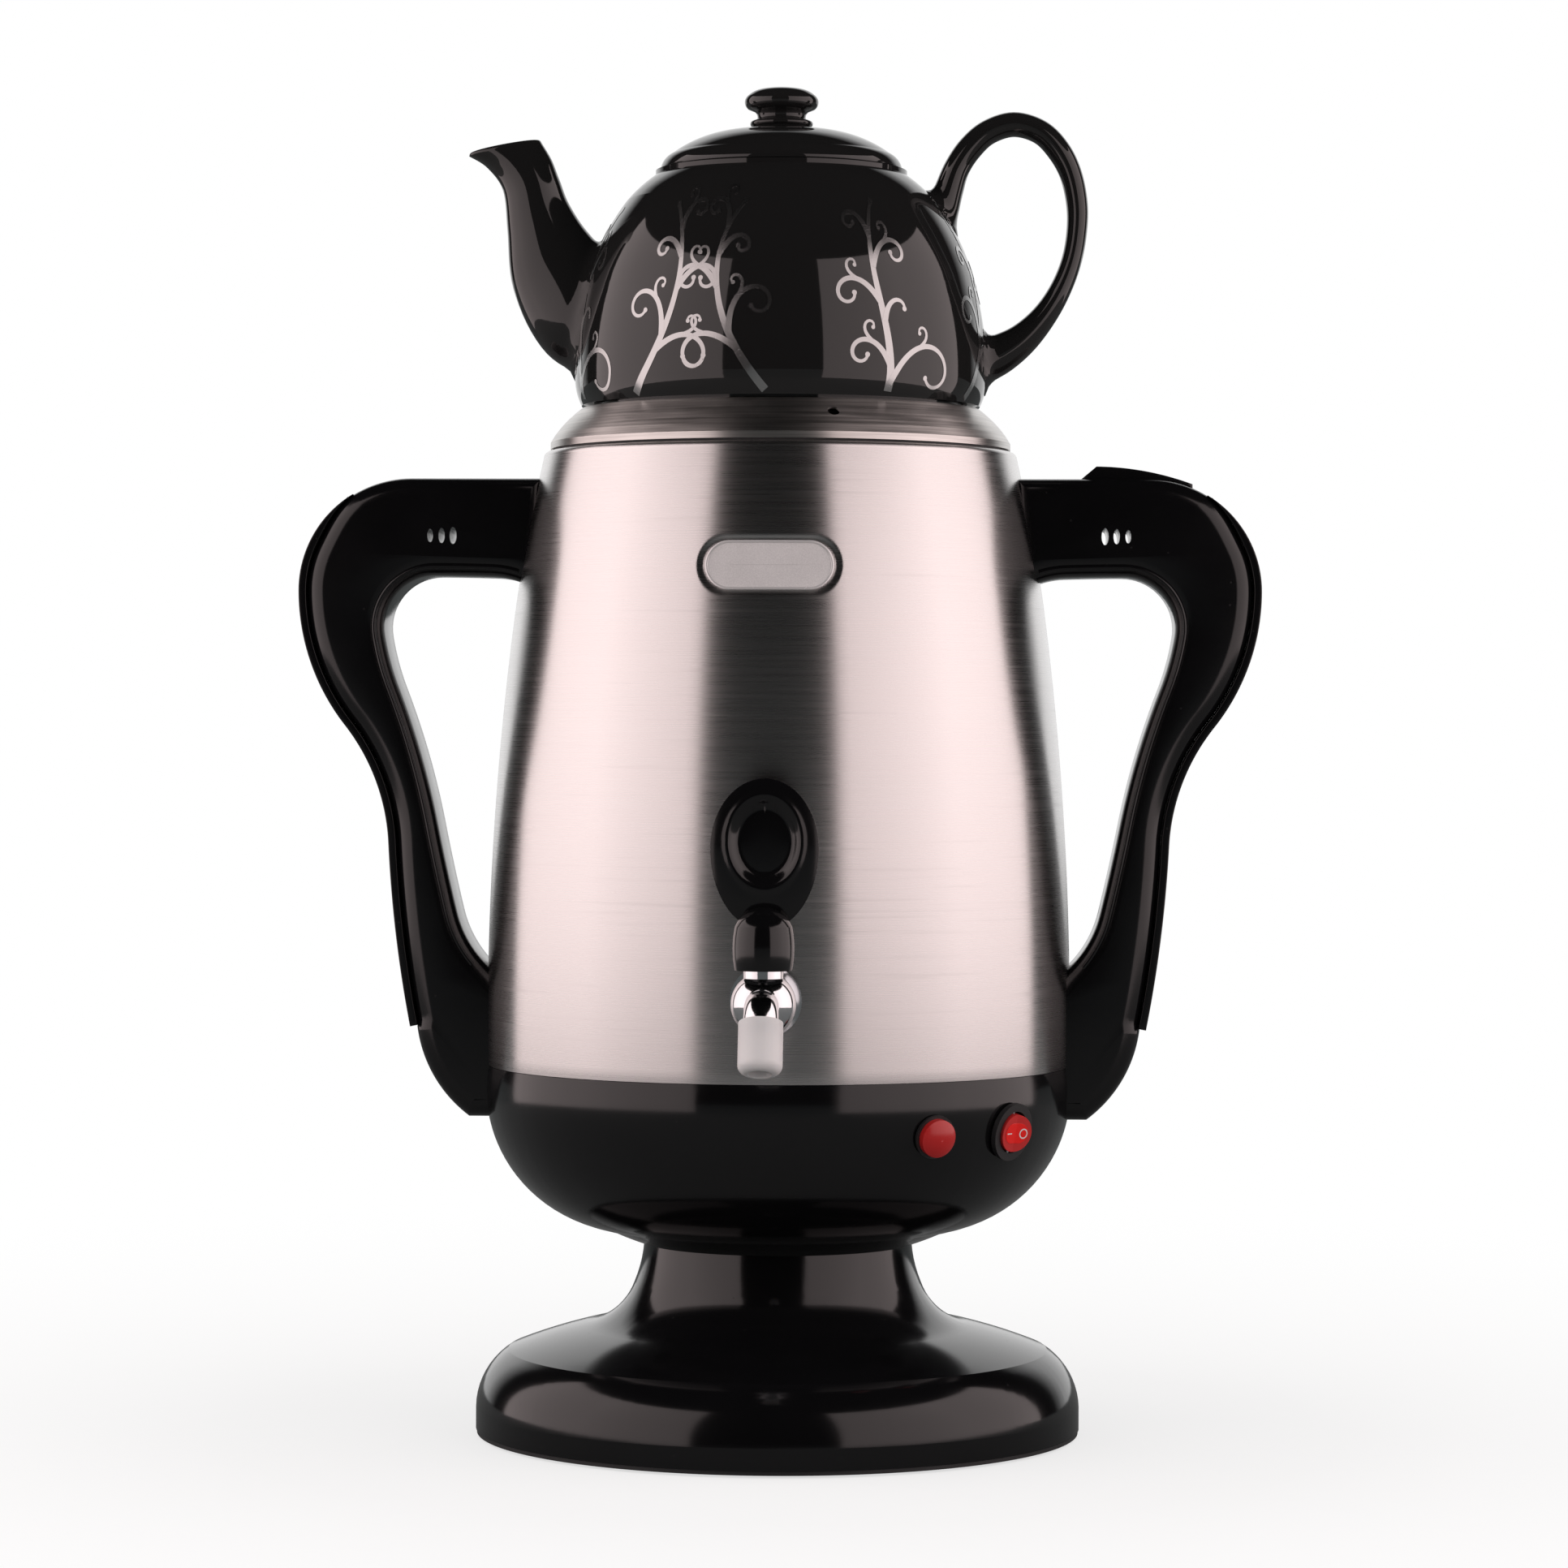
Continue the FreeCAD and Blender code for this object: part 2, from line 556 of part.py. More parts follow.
def raised(name, plane, outlines, depth):
    """A body raised evenly to both sides of one of its origin planes."""
    body = doc.addObject("PartDesign::Body", name)
    sketch = draw(body, name + "_outline", plane, outlines)
    pad = body.newObject("PartDesign::Pad", name + "_pad")
    pad.Profile = sketch
    pad.SideType = "Symmetric"
    bind(pad, Length=depth)
    doc.recompute()
    return body


def bind(item, **sizes):
    """Sets properties and ties them to the sheet."""
    for name, number in sizes.items():
        size = as_size(number)
        setattr(item, name, size.value)
        item.setExpression(name, size.text)
    return item


def place(item, x=0, y=0, z=0, rotation=None):
    """Places an item with its offsets tied to the sheet."""
    spot = [as_size(number) for number in (x, y, z)]
    item.Placement = Placement(Vector(*(s.value for s in spot)), rotation or Rotation())
    for letter, size in zip("xyz", spot):
        item.setExpression(f"Placement.Base.{letter}", size.text)
    return item


ALONG_X = Rotation(Vector(0, 1, 0), 90)
ALONG_Y = Rotation(Vector(1, 0, 0), -90)
counter = iter(range(1, 10000))


def add(kind):
    """A new unnamed helper object."""
    return doc.addObject(kind, f"Step{next(counter)}")


def cylinder(radius, length, x=0, y=0, z=0, rotation=None):
    """A cylinder from its base point along +Z unless turned."""
    return place(bind(add("Part::Cylinder"), Radius=radius, Height=length), x, y, z, rotation)


def block(x, y, z):
    """A box between pairs of coordinates."""
    item = bind(add("Part::Box"), Length=x[1] - x[0], Width=y[1] - y[0], Height=z[1] - z[0])
    return place(item, x[0], y[0], z[0])


def ring(inner, outer, low, high):
    """A flat ring round the vertical axis."""
    return cut(cylinder(outer, high - low, z=low), cylinder(inner, high - low, z=low))


def hexagon(width, height, x=0, y=0, z=0, rotation=None):
    """A six-sided prism measured across its corners."""
    item = bind(add("Part::Prism"), Circumradius=width / 2, Height=height)
    item.Polygon = 6
    return place(item, x, y, z, rotation)


def cut(base, tool):
    item = add("Part::Cut")
    item.Base, item.Tool = base, tool
    return item


def common(base, tool):
    item = add("Part::Common")
    item.Base, item.Tool = base, tool
    return item


def fuse(*items):
    item = add("Part::MultiFuse")
    item.Shapes = list(items)
    return item


def group(*items):
    item = add("Part::Compound")
    item.Links = list(items)
    return item


def dome(radius, rise):
    """Radius of an arc that rises from a point to the axis and meets it squarely."""
    return (radius * radius + rise * rise) / (rise * 2)


def around(count, radius, first=0.0):
    """Points evenly spaced on a circle, as offsets from the axis."""
    spots = []
    for k in range(count):
        angle = math.radians(first + 360 * k / count)
        spots.append((radius * math.cos(angle), radius * math.sin(angle)))
    return spots


def mirrored(item):
    """The item's mirror image across the middle plane."""
    image = add("Part::Mirroring")
    image.Source = item
    image.Normal = Vector(1, 0, 0)
    return image


def outward(azimuth, tilt, radius, z, depth=0):
    """Placement on the body: local +Z points out, +Y up, +X to the right of someone facing it."""
    turn = Rotation(Vector(0, 0, 1), azimuth) * Rotation(Vector(1, 0, 0), 90 + tilt)
    angle = math.radians(azimuth)
    base = Vector(radius * math.sin(angle), -radius * math.cos(angle), z)
    return Placement(base + turn.multVec(Vector(0, 0, depth)), turn)


def coil(name, radius, wire, turns, low, high):
    """A spring of round wire between two heights."""
    body = doc.addObject("PartDesign::Body", name)
    sketch = body.newObject("Sketcher::SketchObject", name + "_wire")
    sketch.AttachmentSupport = [(origin_plane(body, "XZ_Plane"), "")]
    sketch.MapMode = "FlatFace"
    start = low + wire
    sketch.addGeometry(Part.Circle(Vector(radius.value, start.value, 0), Vector(0, 0, 1), wire.value))
    sketch.addConstraint([
        Sketcher.Constraint("Radius", 0, wire.value),
        Sketcher.Constraint("DistanceX", -1, 1, 0, 3, radius.value),
        Sketcher.Constraint("DistanceY", -1, 1, 0, 3, start.value),
    ])
    for place_in_list, size in enumerate((wire, radius, start)):
        sketch.setExpression(f"Constraints[{place_in_list}]", size.text)
    helix = body.newObject("PartDesign::AdditiveHelix", name + "_turns")
    helix.Profile = sketch
    helix.ReferenceAxis = (sketch, ["V_Axis"])
    helix.Mode = "height-turns-angle"
    bind(helix, Height=high - low - wire * 2, Turns=turns)
    doc.recompute()
    return body


# Base: feet, plate and screws

plate_low = S.foot_rise
seam_z = S.foot_rise + S.plate_flange
plate_top = seam_z + S.plate_spigot
FEET = 4
foot_spots = around(FEET, S.foot_circle, 45)
screw_spots = around(FEET, S.plate_screw_circle, 0)
foot_top = plate_low + S.foot_recess
feet = group(*(cylinder(S.foot_r, foot_top, x, y) for x, y in foot_spots))
keep("rubber_feet", feet)

plate = turned("base_plate_disc", [
    (0, plate_low),
    (S.rim_r - S.rim_setback, plate_low),
    (S.rim_r - S.rim_setback, seam_z),
    (S.rim_r - S.plastic_wall - S.plate_play, seam_z),
    (S.rim_r - S.plastic_wall - S.plate_play, plate_top),
    (0, plate_top),
])
foot_recesses = [cylinder(S.foot_r + S.foot_play, S.foot_recess, x, y, plate_low) for x, y in foot_spots]
screw_holes = [cylinder(S.screw_r + S.screw_play, plate_top, x, y, plate_low) for x, y in screw_spots]
head_holes = [
    cylinder(S.screw_head_r + S.screw_play, S.screw_head, x, y, plate_low) for x, y in screw_spots
]
keep("base_plate", cut(plate, fuse(*foot_recesses, *screw_holes, *head_holes)))

head_z = plate_low + S.screw_head
base_screws = []
for x, y in screw_spots:
    head = cylinder(S.screw_head_r, S.screw_head, x, y, plate_low)
    shank = cylinder(S.screw_r, S.base_screw_length, x, y, head_z)
    base_screws.append(fuse(head, shank))
keep("base_screws", group(*base_screws))

# Pedestal

tie_hole_r = S.tie_r + S.fit_gap
pedestal_chain = [
    (S.rim_r, seam_z),
    (S.rim_r, S.rim_z),
    (S.shoulder_r, S.shoulder_z, S.shoulder_round),
    (S.crown_r, S.crown_z, S.crown_round),
    (S.waist_r, S.waist_z, -S.cove_round),
    (S.neck_r, S.neck_z, -S.neck_round),
    (tie_hole_r, S.neck_z),
]
pedestal_turn = turned("pedestal_turning", sheet_outline(pedestal_chain, S.plastic_wall))
boss_high = S.shoulder_z - S.plastic_wall
bosses = [cylinder(S.boss_r, boss_high - plate_top, x, y, plate_top) for x, y in screw_spots]
boss_holes = [
    cylinder(S.screw_r + S.screw_play, S.base_screw_length, x, y, plate_top) for x, y in screw_spots
]
keep("pedestal_shell", cut(fuse(pedestal_turn, *bosses), fuse(*boss_holes)))

# Bowl with its lamp, switch and inlet windows

lip_r = S.shell_r - S.shell_wall - S.fit_gap
lip_top = S.bowl_top_z + S.lip_rise
bowl_chain = [
    (tie_hole_r, S.neck_z),
    (S.neck_r, S.neck_z),
    (S.bowl_foot_r, S.bowl_foot_z, S.bowl_foot_round),
    (S.bowl_r, S.bowl_top_z, S.bowl_round),
]
bowl_inner = inset(bowl_chain, S.plastic_wall)
bowl_outline = bowl_chain + [
    (lip_r, S.bowl_top_z),
    (lip_r, lip_top),
    (lip_r - S.lip_wall, lip_top),
    (lip_r - S.lip_wall, S.bowl_top_z),
] + backwards(bowl_inner)
bowl_turn = turned("bowl_turning", bowl_outline)
bowl_solid = turned("bowl_outside", [(0, S.neck_z)] + bowl_chain[1:] + [(0, S.bowl_top_z)])

window_x = S.inlet_width / 2 + S.inlet_play
window_z = S.inlet_height / 2 + S.inlet_play
face_x = window_x + S.inlet_flange_rim
face_z = window_z + S.inlet_flange_rim
rim_x = face_x + S.inlet_block_rim
rim_z = face_z + S.inlet_block_rim
block_y = S.inlet_face_y - S.inlet_block
inlet_backing = common(
    block((-rim_x, rim_x), (block_y, S.bowl_r), (S.inlet_z - rim_z, S.inlet_z + face_z + S.fit_gap)),
    bowl_solid,
)
far_y = S.bowl_r + S.fit_gap * 10
inlet_window = fuse(
    block((-window_x, window_x), (block_y - 1, far_y), (S.inlet_z - window_z, S.inlet_z + window_z)),
    block((-face_x, face_x), (S.inlet_face_y, far_y), (S.inlet_z - face_z, S.inlet_z + face_z)),
)

bowl_centre = centre_of(numbers(bowl_chain[2]), numbers(bowl_chain[3]), float(S.bowl_round))
control_rise = bowl_centre[1] - float(S.control_z)
control_r = bowl_centre[0] + math.sqrt(float(S.bowl_round) ** 2 - control_rise ** 2)
control_tilt = math.degrees(math.asin(control_rise / float(S.bowl_round)))
lamp_place = outward(float(S.lamp_azimuth), control_tilt, control_r, float(S.control_z))
switch_place = outward(float(S.switch_azimuth), control_tilt, control_r, float(S.control_z))


def control_hole(radius, spot):
    """A hole through the bowl's wall at a control."""
    hole = bind(add("Part::Cylinder"), Radius=radius, Height=S.plastic_wall * 6)
    hole.Placement = spot * Placement(Vector(0, 0, -3 * float(S.plastic_wall)), Rotation())
    return hole


bowl_holes = fuse(
    inlet_window,
    control_hole(S.lamp_barrel_r + S.screw_play, lamp_place),
    control_hole(S.switch_barrel_r + S.screw_play, switch_place),
)
bowl_shape = cut(fuse(bowl_turn, inlet_backing), bowl_holes)

# Steel shell with tap hole, badge recess and screw holes

shell_chain = [
    (S.shell_r, S.bowl_top_z),
    (S.shell_mid_r, S.shell_mid_z, S.shell_round),
    (S.shell_top_r, S.shell_top_z, S.shell_top_round),
    (S.mouth_r, S.shell_top_z),
]
shell_turn = turned("shell_turning", sheet_outline(shell_chain, S.shell_wall))


def outside(gap, name):
    """The body's outer form as one solid, grown by a gap."""
    grown = inset(bowl_chain[1:] + shell_chain[:3], -gap)
    return turned(name, [(0, grown[0][1])] + grown + [(0, grown[-1][1])])


body_form = outside(S.trim_gap, "body_form")

tap_place_y = -S.tap_y
tap_hole = cylinder(S.shank_r + S.shank_play, S.tap_y, 0, tap_place_y, S.tap_z, ALONG_Y)


def front_panel(name, width, height, z, low, high):
    """A rounded panel that follows the shell between two depths from its surface."""
    half = height / 2
    flat = width / 2 - half
    prism = fuse(
        block((-flat, flat), (-S.shell_r, S.fit_gap), (z - half, z + half)),
        cylinder(half, S.shell_r, -flat, -S.shell_r, z, ALONG_Y),
        cylinder(half, S.shell_r, flat, -S.shell_r, z, ALONG_Y),
    )
    skin = turned(name, inset(shell_chain[1:3], -high) + backwards(inset(shell_chain[1:3], -low)))
    return common(skin, prism)


badge_sink = front_panel(
    "badge_sink", S.badge_recess_width, S.badge_recess_height, S.badge_z, -S.badge_recess, S.badge_recess
)
badge = front_panel(
    "badge_sheet", S.badge_width, S.badge_height, S.badge_z, S.trim_gap - S.badge_recess, S.badge_rise
)
keep("badge_plate", badge)


def shell_inner_r(z):
    """Inner radius of the steel shell at a height."""
    low, mid, top = (numbers(point) for point in shell_chain[:3])
    start, end = (low, mid) if z < mid[1] else (mid, top)
    centre = centre_of(start, end, end[2])
    return centre[0] + math.sqrt(end[2] ** 2 - (z - centre[1]) ** 2) - float(S.shell_wall)


def grip_screws(radius, head_r, play):
    """Screws, or their holes, that hold both handles from inside the shell."""
    items = []
    for z in (S.grip_screw_top_z, S.grip_screw_low_z):
        inner = shell_inner_r(float(z + S.screw_head_r))
        start = math.sqrt(inner ** 2 - float(S.grip_screw_y + S.screw_head_r) ** 2)
        for y in (-S.grip_screw_y, S.grip_screw_y):
            length = S.grip_screw_length + play
            parts = [cylinder(radius, length, start, y, z, ALONG_X)]
            if head_r is not None:
                parts.append(cylinder(head_r, S.screw_head, start - S.screw_head, y, z, ALONG_X))
            screw = fuse(*parts) if len(parts) > 1 else parts[0]
            items.append(screw)
            items.append(mirrored(screw))
    return items


keep("handle_screws", group(*grip_screws(S.screw_r, S.screw_head_r, 0)))
grip_holes = fuse(*grip_screws(S.screw_r + S.screw_play, None, S.fit_gap))
shell_cuts = fuse(tap_hole, badge_sink, grip_holes)
keep("outer_shell", cut(shell_turn, shell_cuts))
keep("bowl_housing", cut(bowl_shape, grip_holes))

# Inner tank, seals and heating

tank_rim_top = S.shell_top_z - S.shell_wall - S.gasket
tank_turn = turned("tank_turning", [
    (0, S.tank_bottom_z),
    (S.tank_r, S.tank_bottom_z),
    (S.tank_r, tank_rim_top - S.tank_wall),
    (S.tank_rim_r, tank_rim_top - S.tank_wall),
    (S.tank_rim_r, tank_rim_top),
    (S.tank_r - S.tank_wall, tank_rim_top),
    (S.tank_r - S.tank_wall, S.tank_bottom_z + S.tank_wall),
    (0, S.tank_bottom_z + S.tank_wall),
])
tank_hole = cylinder(S.shank_r + S.shank_play, S.tap_y, 0, tap_place_y, S.tap_z, ALONG_Y)
keep("inner_tank", cut(tank_turn, tank_hole))
keep("tank_gasket", ring(S.mouth_r + S.gasket, S.tank_rim_r, tank_rim_top, tank_rim_top + S.gasket))

plate_under = S.tank_bottom_z - S.heater_plate
keep("heating_plate", cylinder(S.plate_r, S.heater_plate, z=plate_under))
element_z = plate_under - S.element_r - S.screw_play
element_ring = bind(
    add("Part::Torus"), Radius1=S.element_ring_r, Radius2=S.element_r, Angle3=S.element_arc
)
place(element_ring, 0, 0, element_z, Rotation(Vector(0, 0, 1), 110))
element_ends = []
tail_z = element_z - S.element_r - S.pin_play - S.element_tail
for degrees in (110, 110 + float(S.element_arc)):
    angle = math.radians(degrees)
    x = S.element_ring_r * math.cos(angle)
    y = S.element_ring_r * math.sin(angle)
    element_ends.append(cylinder(S.element_r, S.element_tail, x, y, tail_z))
keep("heating_element", group(element_ring, *element_ends))

thermostat_z = plate_under - S.thermostat_height
keep("thermostat", cylinder(S.thermostat_r, S.thermostat_height, 0, S.thermostat_place, thermostat_z))
cutout_z = plate_under - S.cutout_height
keep("thermal_cutout", cylinder(S.cutout_r, S.cutout_height, 0, -S.thermostat_place, cutout_z))
keep("tie_rod", cylinder(S.tie_r, plate_under - S.tie_end_z, z=S.tie_end_z))
nut_z = S.neck_z - S.plastic_wall - S.tie_nut
nut_hole = cylinder(S.tie_r + S.pin_play, S.tie_nut, z=nut_z)
keep("tie_nut", cut(hexagon(S.tie_nut_width, S.tie_nut, z=nut_z), nut_hole))

shield_chain = [
    (tie_hole_r, S.shield_z),
    (S.shield_r, S.shield_z),
    (S.shield_r + S.shield_wall, lip_top),
    (lip_r, lip_top),
]
keep("heat_shield", turned("shield_turning", sheet_outline(shield_chain, S.shield_wall)))

# Power inlet

inlet_back = S.inlet_face_y - S.inlet_depth
inlet_front = S.inlet_face_y + S.inlet_flange
half_x = S.inlet_width / 2
half_z = S.inlet_height / 2
inlet_flange_x = half_x + S.inlet_flange_rim
inlet_flange_z = half_z + S.inlet_flange_rim
inlet_body = fuse(
    block((-half_x, half_x), (inlet_back, S.inlet_face_y), (S.inlet_z - half_z, S.inlet_z + half_z)),
    block(
        (-inlet_flange_x, inlet_flange_x),
        (S.inlet_face_y, inlet_front),
        (S.inlet_z - inlet_flange_z, S.inlet_z + inlet_flange_z),
    ),
)
socket_y = inlet_front - S.socket_depth
socket_x = half_x - S.inlet_wall
socket_z = half_z - S.inlet_wall
socket = block((-socket_x, socket_x), (socket_y, inlet_front), (S.inlet_z - socket_z, S.inlet_z + socket_z))
blades = []
blade_holes = []
for step in (-1, 0, 1):
    x = S.blade_pitch * step
    x_span = (x - S.blade_thickness / 2, x + S.blade_thickness / 2)
    z_span = (S.inlet_z - S.blade_width / 2, S.inlet_z + S.blade_width / 2)
    blades.append(block(x_span, (inlet_back - S.blade_tab, inlet_front - S.inlet_wall), z_span))
    blade_holes.append(block(x_span, (inlet_back, inlet_front - S.inlet_wall), z_span))
keep("power_inlet", cut(inlet_body, fuse(socket, *blade_holes)))
keep("inlet_blades", group(*blades))

# Pilot lamp

lamp_holder = turned("lamp_holder_turning", [
    (0, -S.lamp_barrel),
    (S.lamp_barrel_r, -S.lamp_barrel),
    (S.lamp_barrel_r, 0),
    (S.lamp_bezel_r, 0),
    (S.lamp_bezel_r, S.lamp_bezel),
    (0, S.lamp_bezel),
])
lamp_holder.Placement = lamp_place * Placement(Vector(0, 0, float(S.trim_gap)), Rotation())
keep("lamp_holder", lamp_holder)
lens_low = S.lamp_bezel + S.trim_gap
lens_side = lens_low + S.lamp_head
lens_bore_r = S.lamp_r - S.lamp_wall
lamp_lens = turned("lamp_lens_turning", [
    (lens_bore_r, lens_low),
    (S.lamp_r, lens_low),
    (S.lamp_r, lens_side),
    (0, lens_side + S.lamp_dome, dome(S.lamp_r, S.lamp_dome)),
    (0, lens_side + S.lamp_dome - S.lamp_wall),
    (lens_bore_r, lens_side, -dome(lens_bore_r, S.lamp_dome - S.lamp_wall)),
])
lamp_lens.Placement = lamp_place
keep("lamp_lens", lamp_lens)

# Rocker switch

well_r = S.rocker_r + S.rocker_play
well_floor = S.switch_flange - S.rocker_depth - S.rocker_height
switch_turn = turned("switch_turning", [
    (0, -S.switch_barrel),
    (S.switch_barrel_r, -S.switch_barrel),
    (S.switch_barrel_r, 0),
    (S.switch_flange_r, 0),
    (S.switch_flange_r, S.switch_flange),
    (well_r, S.switch_flange),
    (well_r, well_floor),
    (0, well_floor),
])
pivot_depth = S.switch_flange - S.rocker_pivot
pin_reach = S.switch_barrel_r - S.rocker_play
pin_hole = cylinder(S.rocker_pin_r + S.pin_play, pin_reach * 2, 0, -pin_reach, pivot_depth, ALONG_Y)
flush = Placement(Vector(0, 0, float(S.trim_gap)), Rotation())
switch_housing = cut(switch_turn, pin_hole)
switch_housing.Placement = switch_place * flush
keep("switch_housing", switch_housing)
switch_pin = cylinder(S.rocker_pin_r, pin_reach * 2, 0, -pin_reach, pivot_depth, ALONG_Y)
switch_pin_out = group(switch_pin)
rocker_top = S.switch_flange + S.rocker_height
rocker_edge = S.rocker_r + S.rocker_play
rocker_low = S.switch_flange - S.rocker_depth
rocker_side = raised("rocker_side", "XZ_Plane", [[
    (-rocker_edge, rocker_low),
    (rocker_edge, rocker_low),
    (rocker_edge, rocker_top),
    (0, rocker_top - S.rocker_dip),
    (-rocker_edge, rocker_top),
]], S.switch_barrel_r * 2)
rocker_round = cylinder(S.rocker_r, rocker_top - rocker_low, z=rocker_low)
rocker_bore = cylinder(S.rocker_pin_r + S.pin_play, pin_reach * 2, 0, -pin_reach, pivot_depth, ALONG_Y)
rocker = cut(common(rocker_side, rocker_round), rocker_bore)
rocker_turn = Rotation(Vector(0, 1, 0), -float(S.rocker_tilt))
tilt = Placement(Vector(0, 0, 0), rocker_turn, Vector(0, 0, float(pivot_depth)))
rocker.Placement = switch_place * flush * tilt
keep("switch_rocker", rocker)
switch_pin_out.Placement = switch_place * flush
keep("switch_pin", switch_pin_out)
terminals = []
for step in (-1, 0, 1):
    x = S.terminal_pitch * step
    terminals.append(block(
        (x - S.terminal_thickness / 2, x + S.terminal_thickness / 2),
        (-S.terminal_width / 2, S.terminal_width / 2),
        (-S.switch_barrel - S.terminal_length, -S.switch_barrel),
    ))
switch_terminals = group(*terminals)
switch_terminals.Placement = switch_place * flush
keep("switch_terminals", switch_terminals)

# Lid with the teapot's seat

lid_low = S.shell_top_z + S.gasket
lid_chain = [
    (S.skirt_r - S.tank_wall, lid_low),
    (S.lid_r, lid_low),
    (S.lid_r, lid_low + S.lid_bead),
    (S.lid_band_r, S.lid_band_z),
    (S.lid_top_r, S.lid_top_z, S.lid_round),
    (S.seat_r, S.lid_top_z),
    (S.seat_r, S.seat_z),
    (0, S.seat_z),
]
lid_turn = turned("lid_turning", sheet_outline(lid_chain, S.lid_wall))
steam_holes = [
    cylinder(S.steam_hole_r, S.lid_wall * 4, x, y, S.seat_z - S.lid_wall * 2)
    for x, y in around(6, S.steam_circle)
]
vent = bind(add("Part::Cylinder"), Radius=S.vent_r, Height=S.lid_top_r / 3)
vent.Placement = outward(float(S.vent_azimuth), -45, float(S.lid_top_r), float(S.vent_z) - 5, 0)
keep("lid_cover", cut(lid_turn, fuse(*steam_holes, vent)))
keep("lid_skirt", ring(S.skirt_r - S.tank_wall, S.skirt_r, lid_low - S.skirt_depth, lid_low))
keep("lid_seal", ring(S.mouth_r + S.gasket, S.tank_rim_r - S.gasket, S.shell_top_z, lid_low))

# Teapot

pot_side = [
    (S.pot_edge_r, S.pot_edge_z),
    (S.pot_r, S.pot_r_z, S.pot_edge_round),
    (S.pot_side_r, S.pot_side_z, S.pot_side_round),
    (S.pot_shoulder_r, S.pot_shoulder_z, S.pot_shoulder_round),
    (S.pot_top_r, S.pot_top_z, S.pot_top_round),
]
foot_in = S.pot_foot_r - S.pot_foot_width
pot_under = S.seat_z + S.pot_foot_recess
pot_outside = [
    (0, pot_under),
    (foot_in, pot_under),
    (foot_in, S.seat_z),
    (S.pot_foot_r, S.seat_z),
    (S.pot_foot_r, S.pot_edge_z),
] + pot_side
rim_top = S.pot_top_z + S.pot_rim
pot_inner = inset(pot_side, S.pot_wall)
pot_inside = [(S.pot_mouth_r, pot_inner[-1][1])] + backwards(pot_inner)[:-1]
pot_floor = pot_under + S.pot_wall
pot_floor_r = S.pot_foot_r - S.pot_wall
pot_inside += [(pot_floor_r, pot_inner[0][1] + S.pot_wall), (pot_floor_r, pot_floor)]
pot_outline = pot_outside + [
    (S.pot_top_r, rim_top),
    (S.pot_mouth_r, rim_top),
] + pot_inside + [(0, pot_floor)]
pot_turn = turned("pot_turning", pot_outline)
pot_form = [(0, S.seat_z), (S.pot_edge_r, S.seat_z)] + inset(pot_side, -S.pin_play) + [(0, S.pot_top_z)]
pot_solid = turned("pot_form", pot_form)
strainer = []
for row in (-1, 0, 1):
    for column in (-1, 0, 1):
        y = S.strainer_pitch * column
        z = S.strainer_z + S.strainer_pitch * row
        strainer.append(cylinder(S.strainer_hole_r, S.pot_r, -S.pot_r - S.pot_wall, y, z, ALONG_X))
keep("teapot_body", cut(pot_turn, fuse(*strainer)))


def oval(x, z, lean, across, deep):
    """An ellipse standing across the spout: lean is its slope in degrees."""
    item = add("Part::Ellipse")
    long_way, short_way = max(across, deep), min(across, deep)
    item.MajorRadius, item.MinorRadius = long_way, short_way
    turn = Rotation(Vector(0, 1, 0), lean)
    if deep > across:
        turn = turn * Rotation(Vector(0, 0, 1), 90)
    item.Placement = Placement(Vector(x, 0, z), turn)
    return item


# Each station of the spout: across, height, lean, half width in the plane, half depth
SPOUT = (
    (-66.0, 437.0, 68.0, 24.0, 19.0),
    (-81.5, 445.5, 62.0, 23.4, 18.0),
    (-91.2, 461.7, 38.4, 18.6, 15.0),
    (-96.0, 478.5, 24.0, 13.4, 12.4),
    (-98.9, 491.5, 12.0, 11.4, 10.8),
    (-103.6, 500.0, 8.0, 12.8, 9.9),
    (-109.2, 505.6, 10.7, 14.6, 9.4),
)


def spout_loft(shrink, first):
    """The spout's form through its stations, drawn in by a wall."""
    loft = add("Part::Loft")
    loft.Sections = [
        oval(x, z, -lean, across - shrink, deep - shrink) for x, z, lean, across, deep in SPOUT[first:]
    ]
    loft.Solid = True
    loft.Ruled = False
    return loft


spout_out = spout_loft(0.0, 0)
spout_in = spout_loft(float(S.spout_wall), 0)
keep("teapot_spout", cut(cut(spout_out, spout_in), pot_solid))

# Teapot handle: a path of straight runs and tangent arcs in the middle plane

ear = doc.addObject("PartDesign::Body", "teapot_ear")
ear_path = ear.newObject("Sketcher::SketchObject", "ear_path")
ear_path.AttachmentSupport = [(origin_plane(ear, "XZ_Plane"), "")]
ear_path.MapMode = "FlatFace"
ear_back_x = S.ear_x + S.ear_bend * 2
ear_low_z = S.ear_z - S.ear_straight
bend_centre = (S.ear_x + S.ear_bend, S.ear_z)
sweep_centre = (ear_back_x - S.ear_sweep, ear_low_z)
turn_angle = math.radians(float(S.ear_sweep_turn))
ear_end = (
    sweep_centre[0] + S.ear_sweep * math.cos(turn_angle),
    sweep_centre[1] - S.ear_sweep * math.sin(turn_angle),
)


def flat(point):
    """A point of a sketch."""
    return Vector(float(point[0]), float(point[1]), 0)


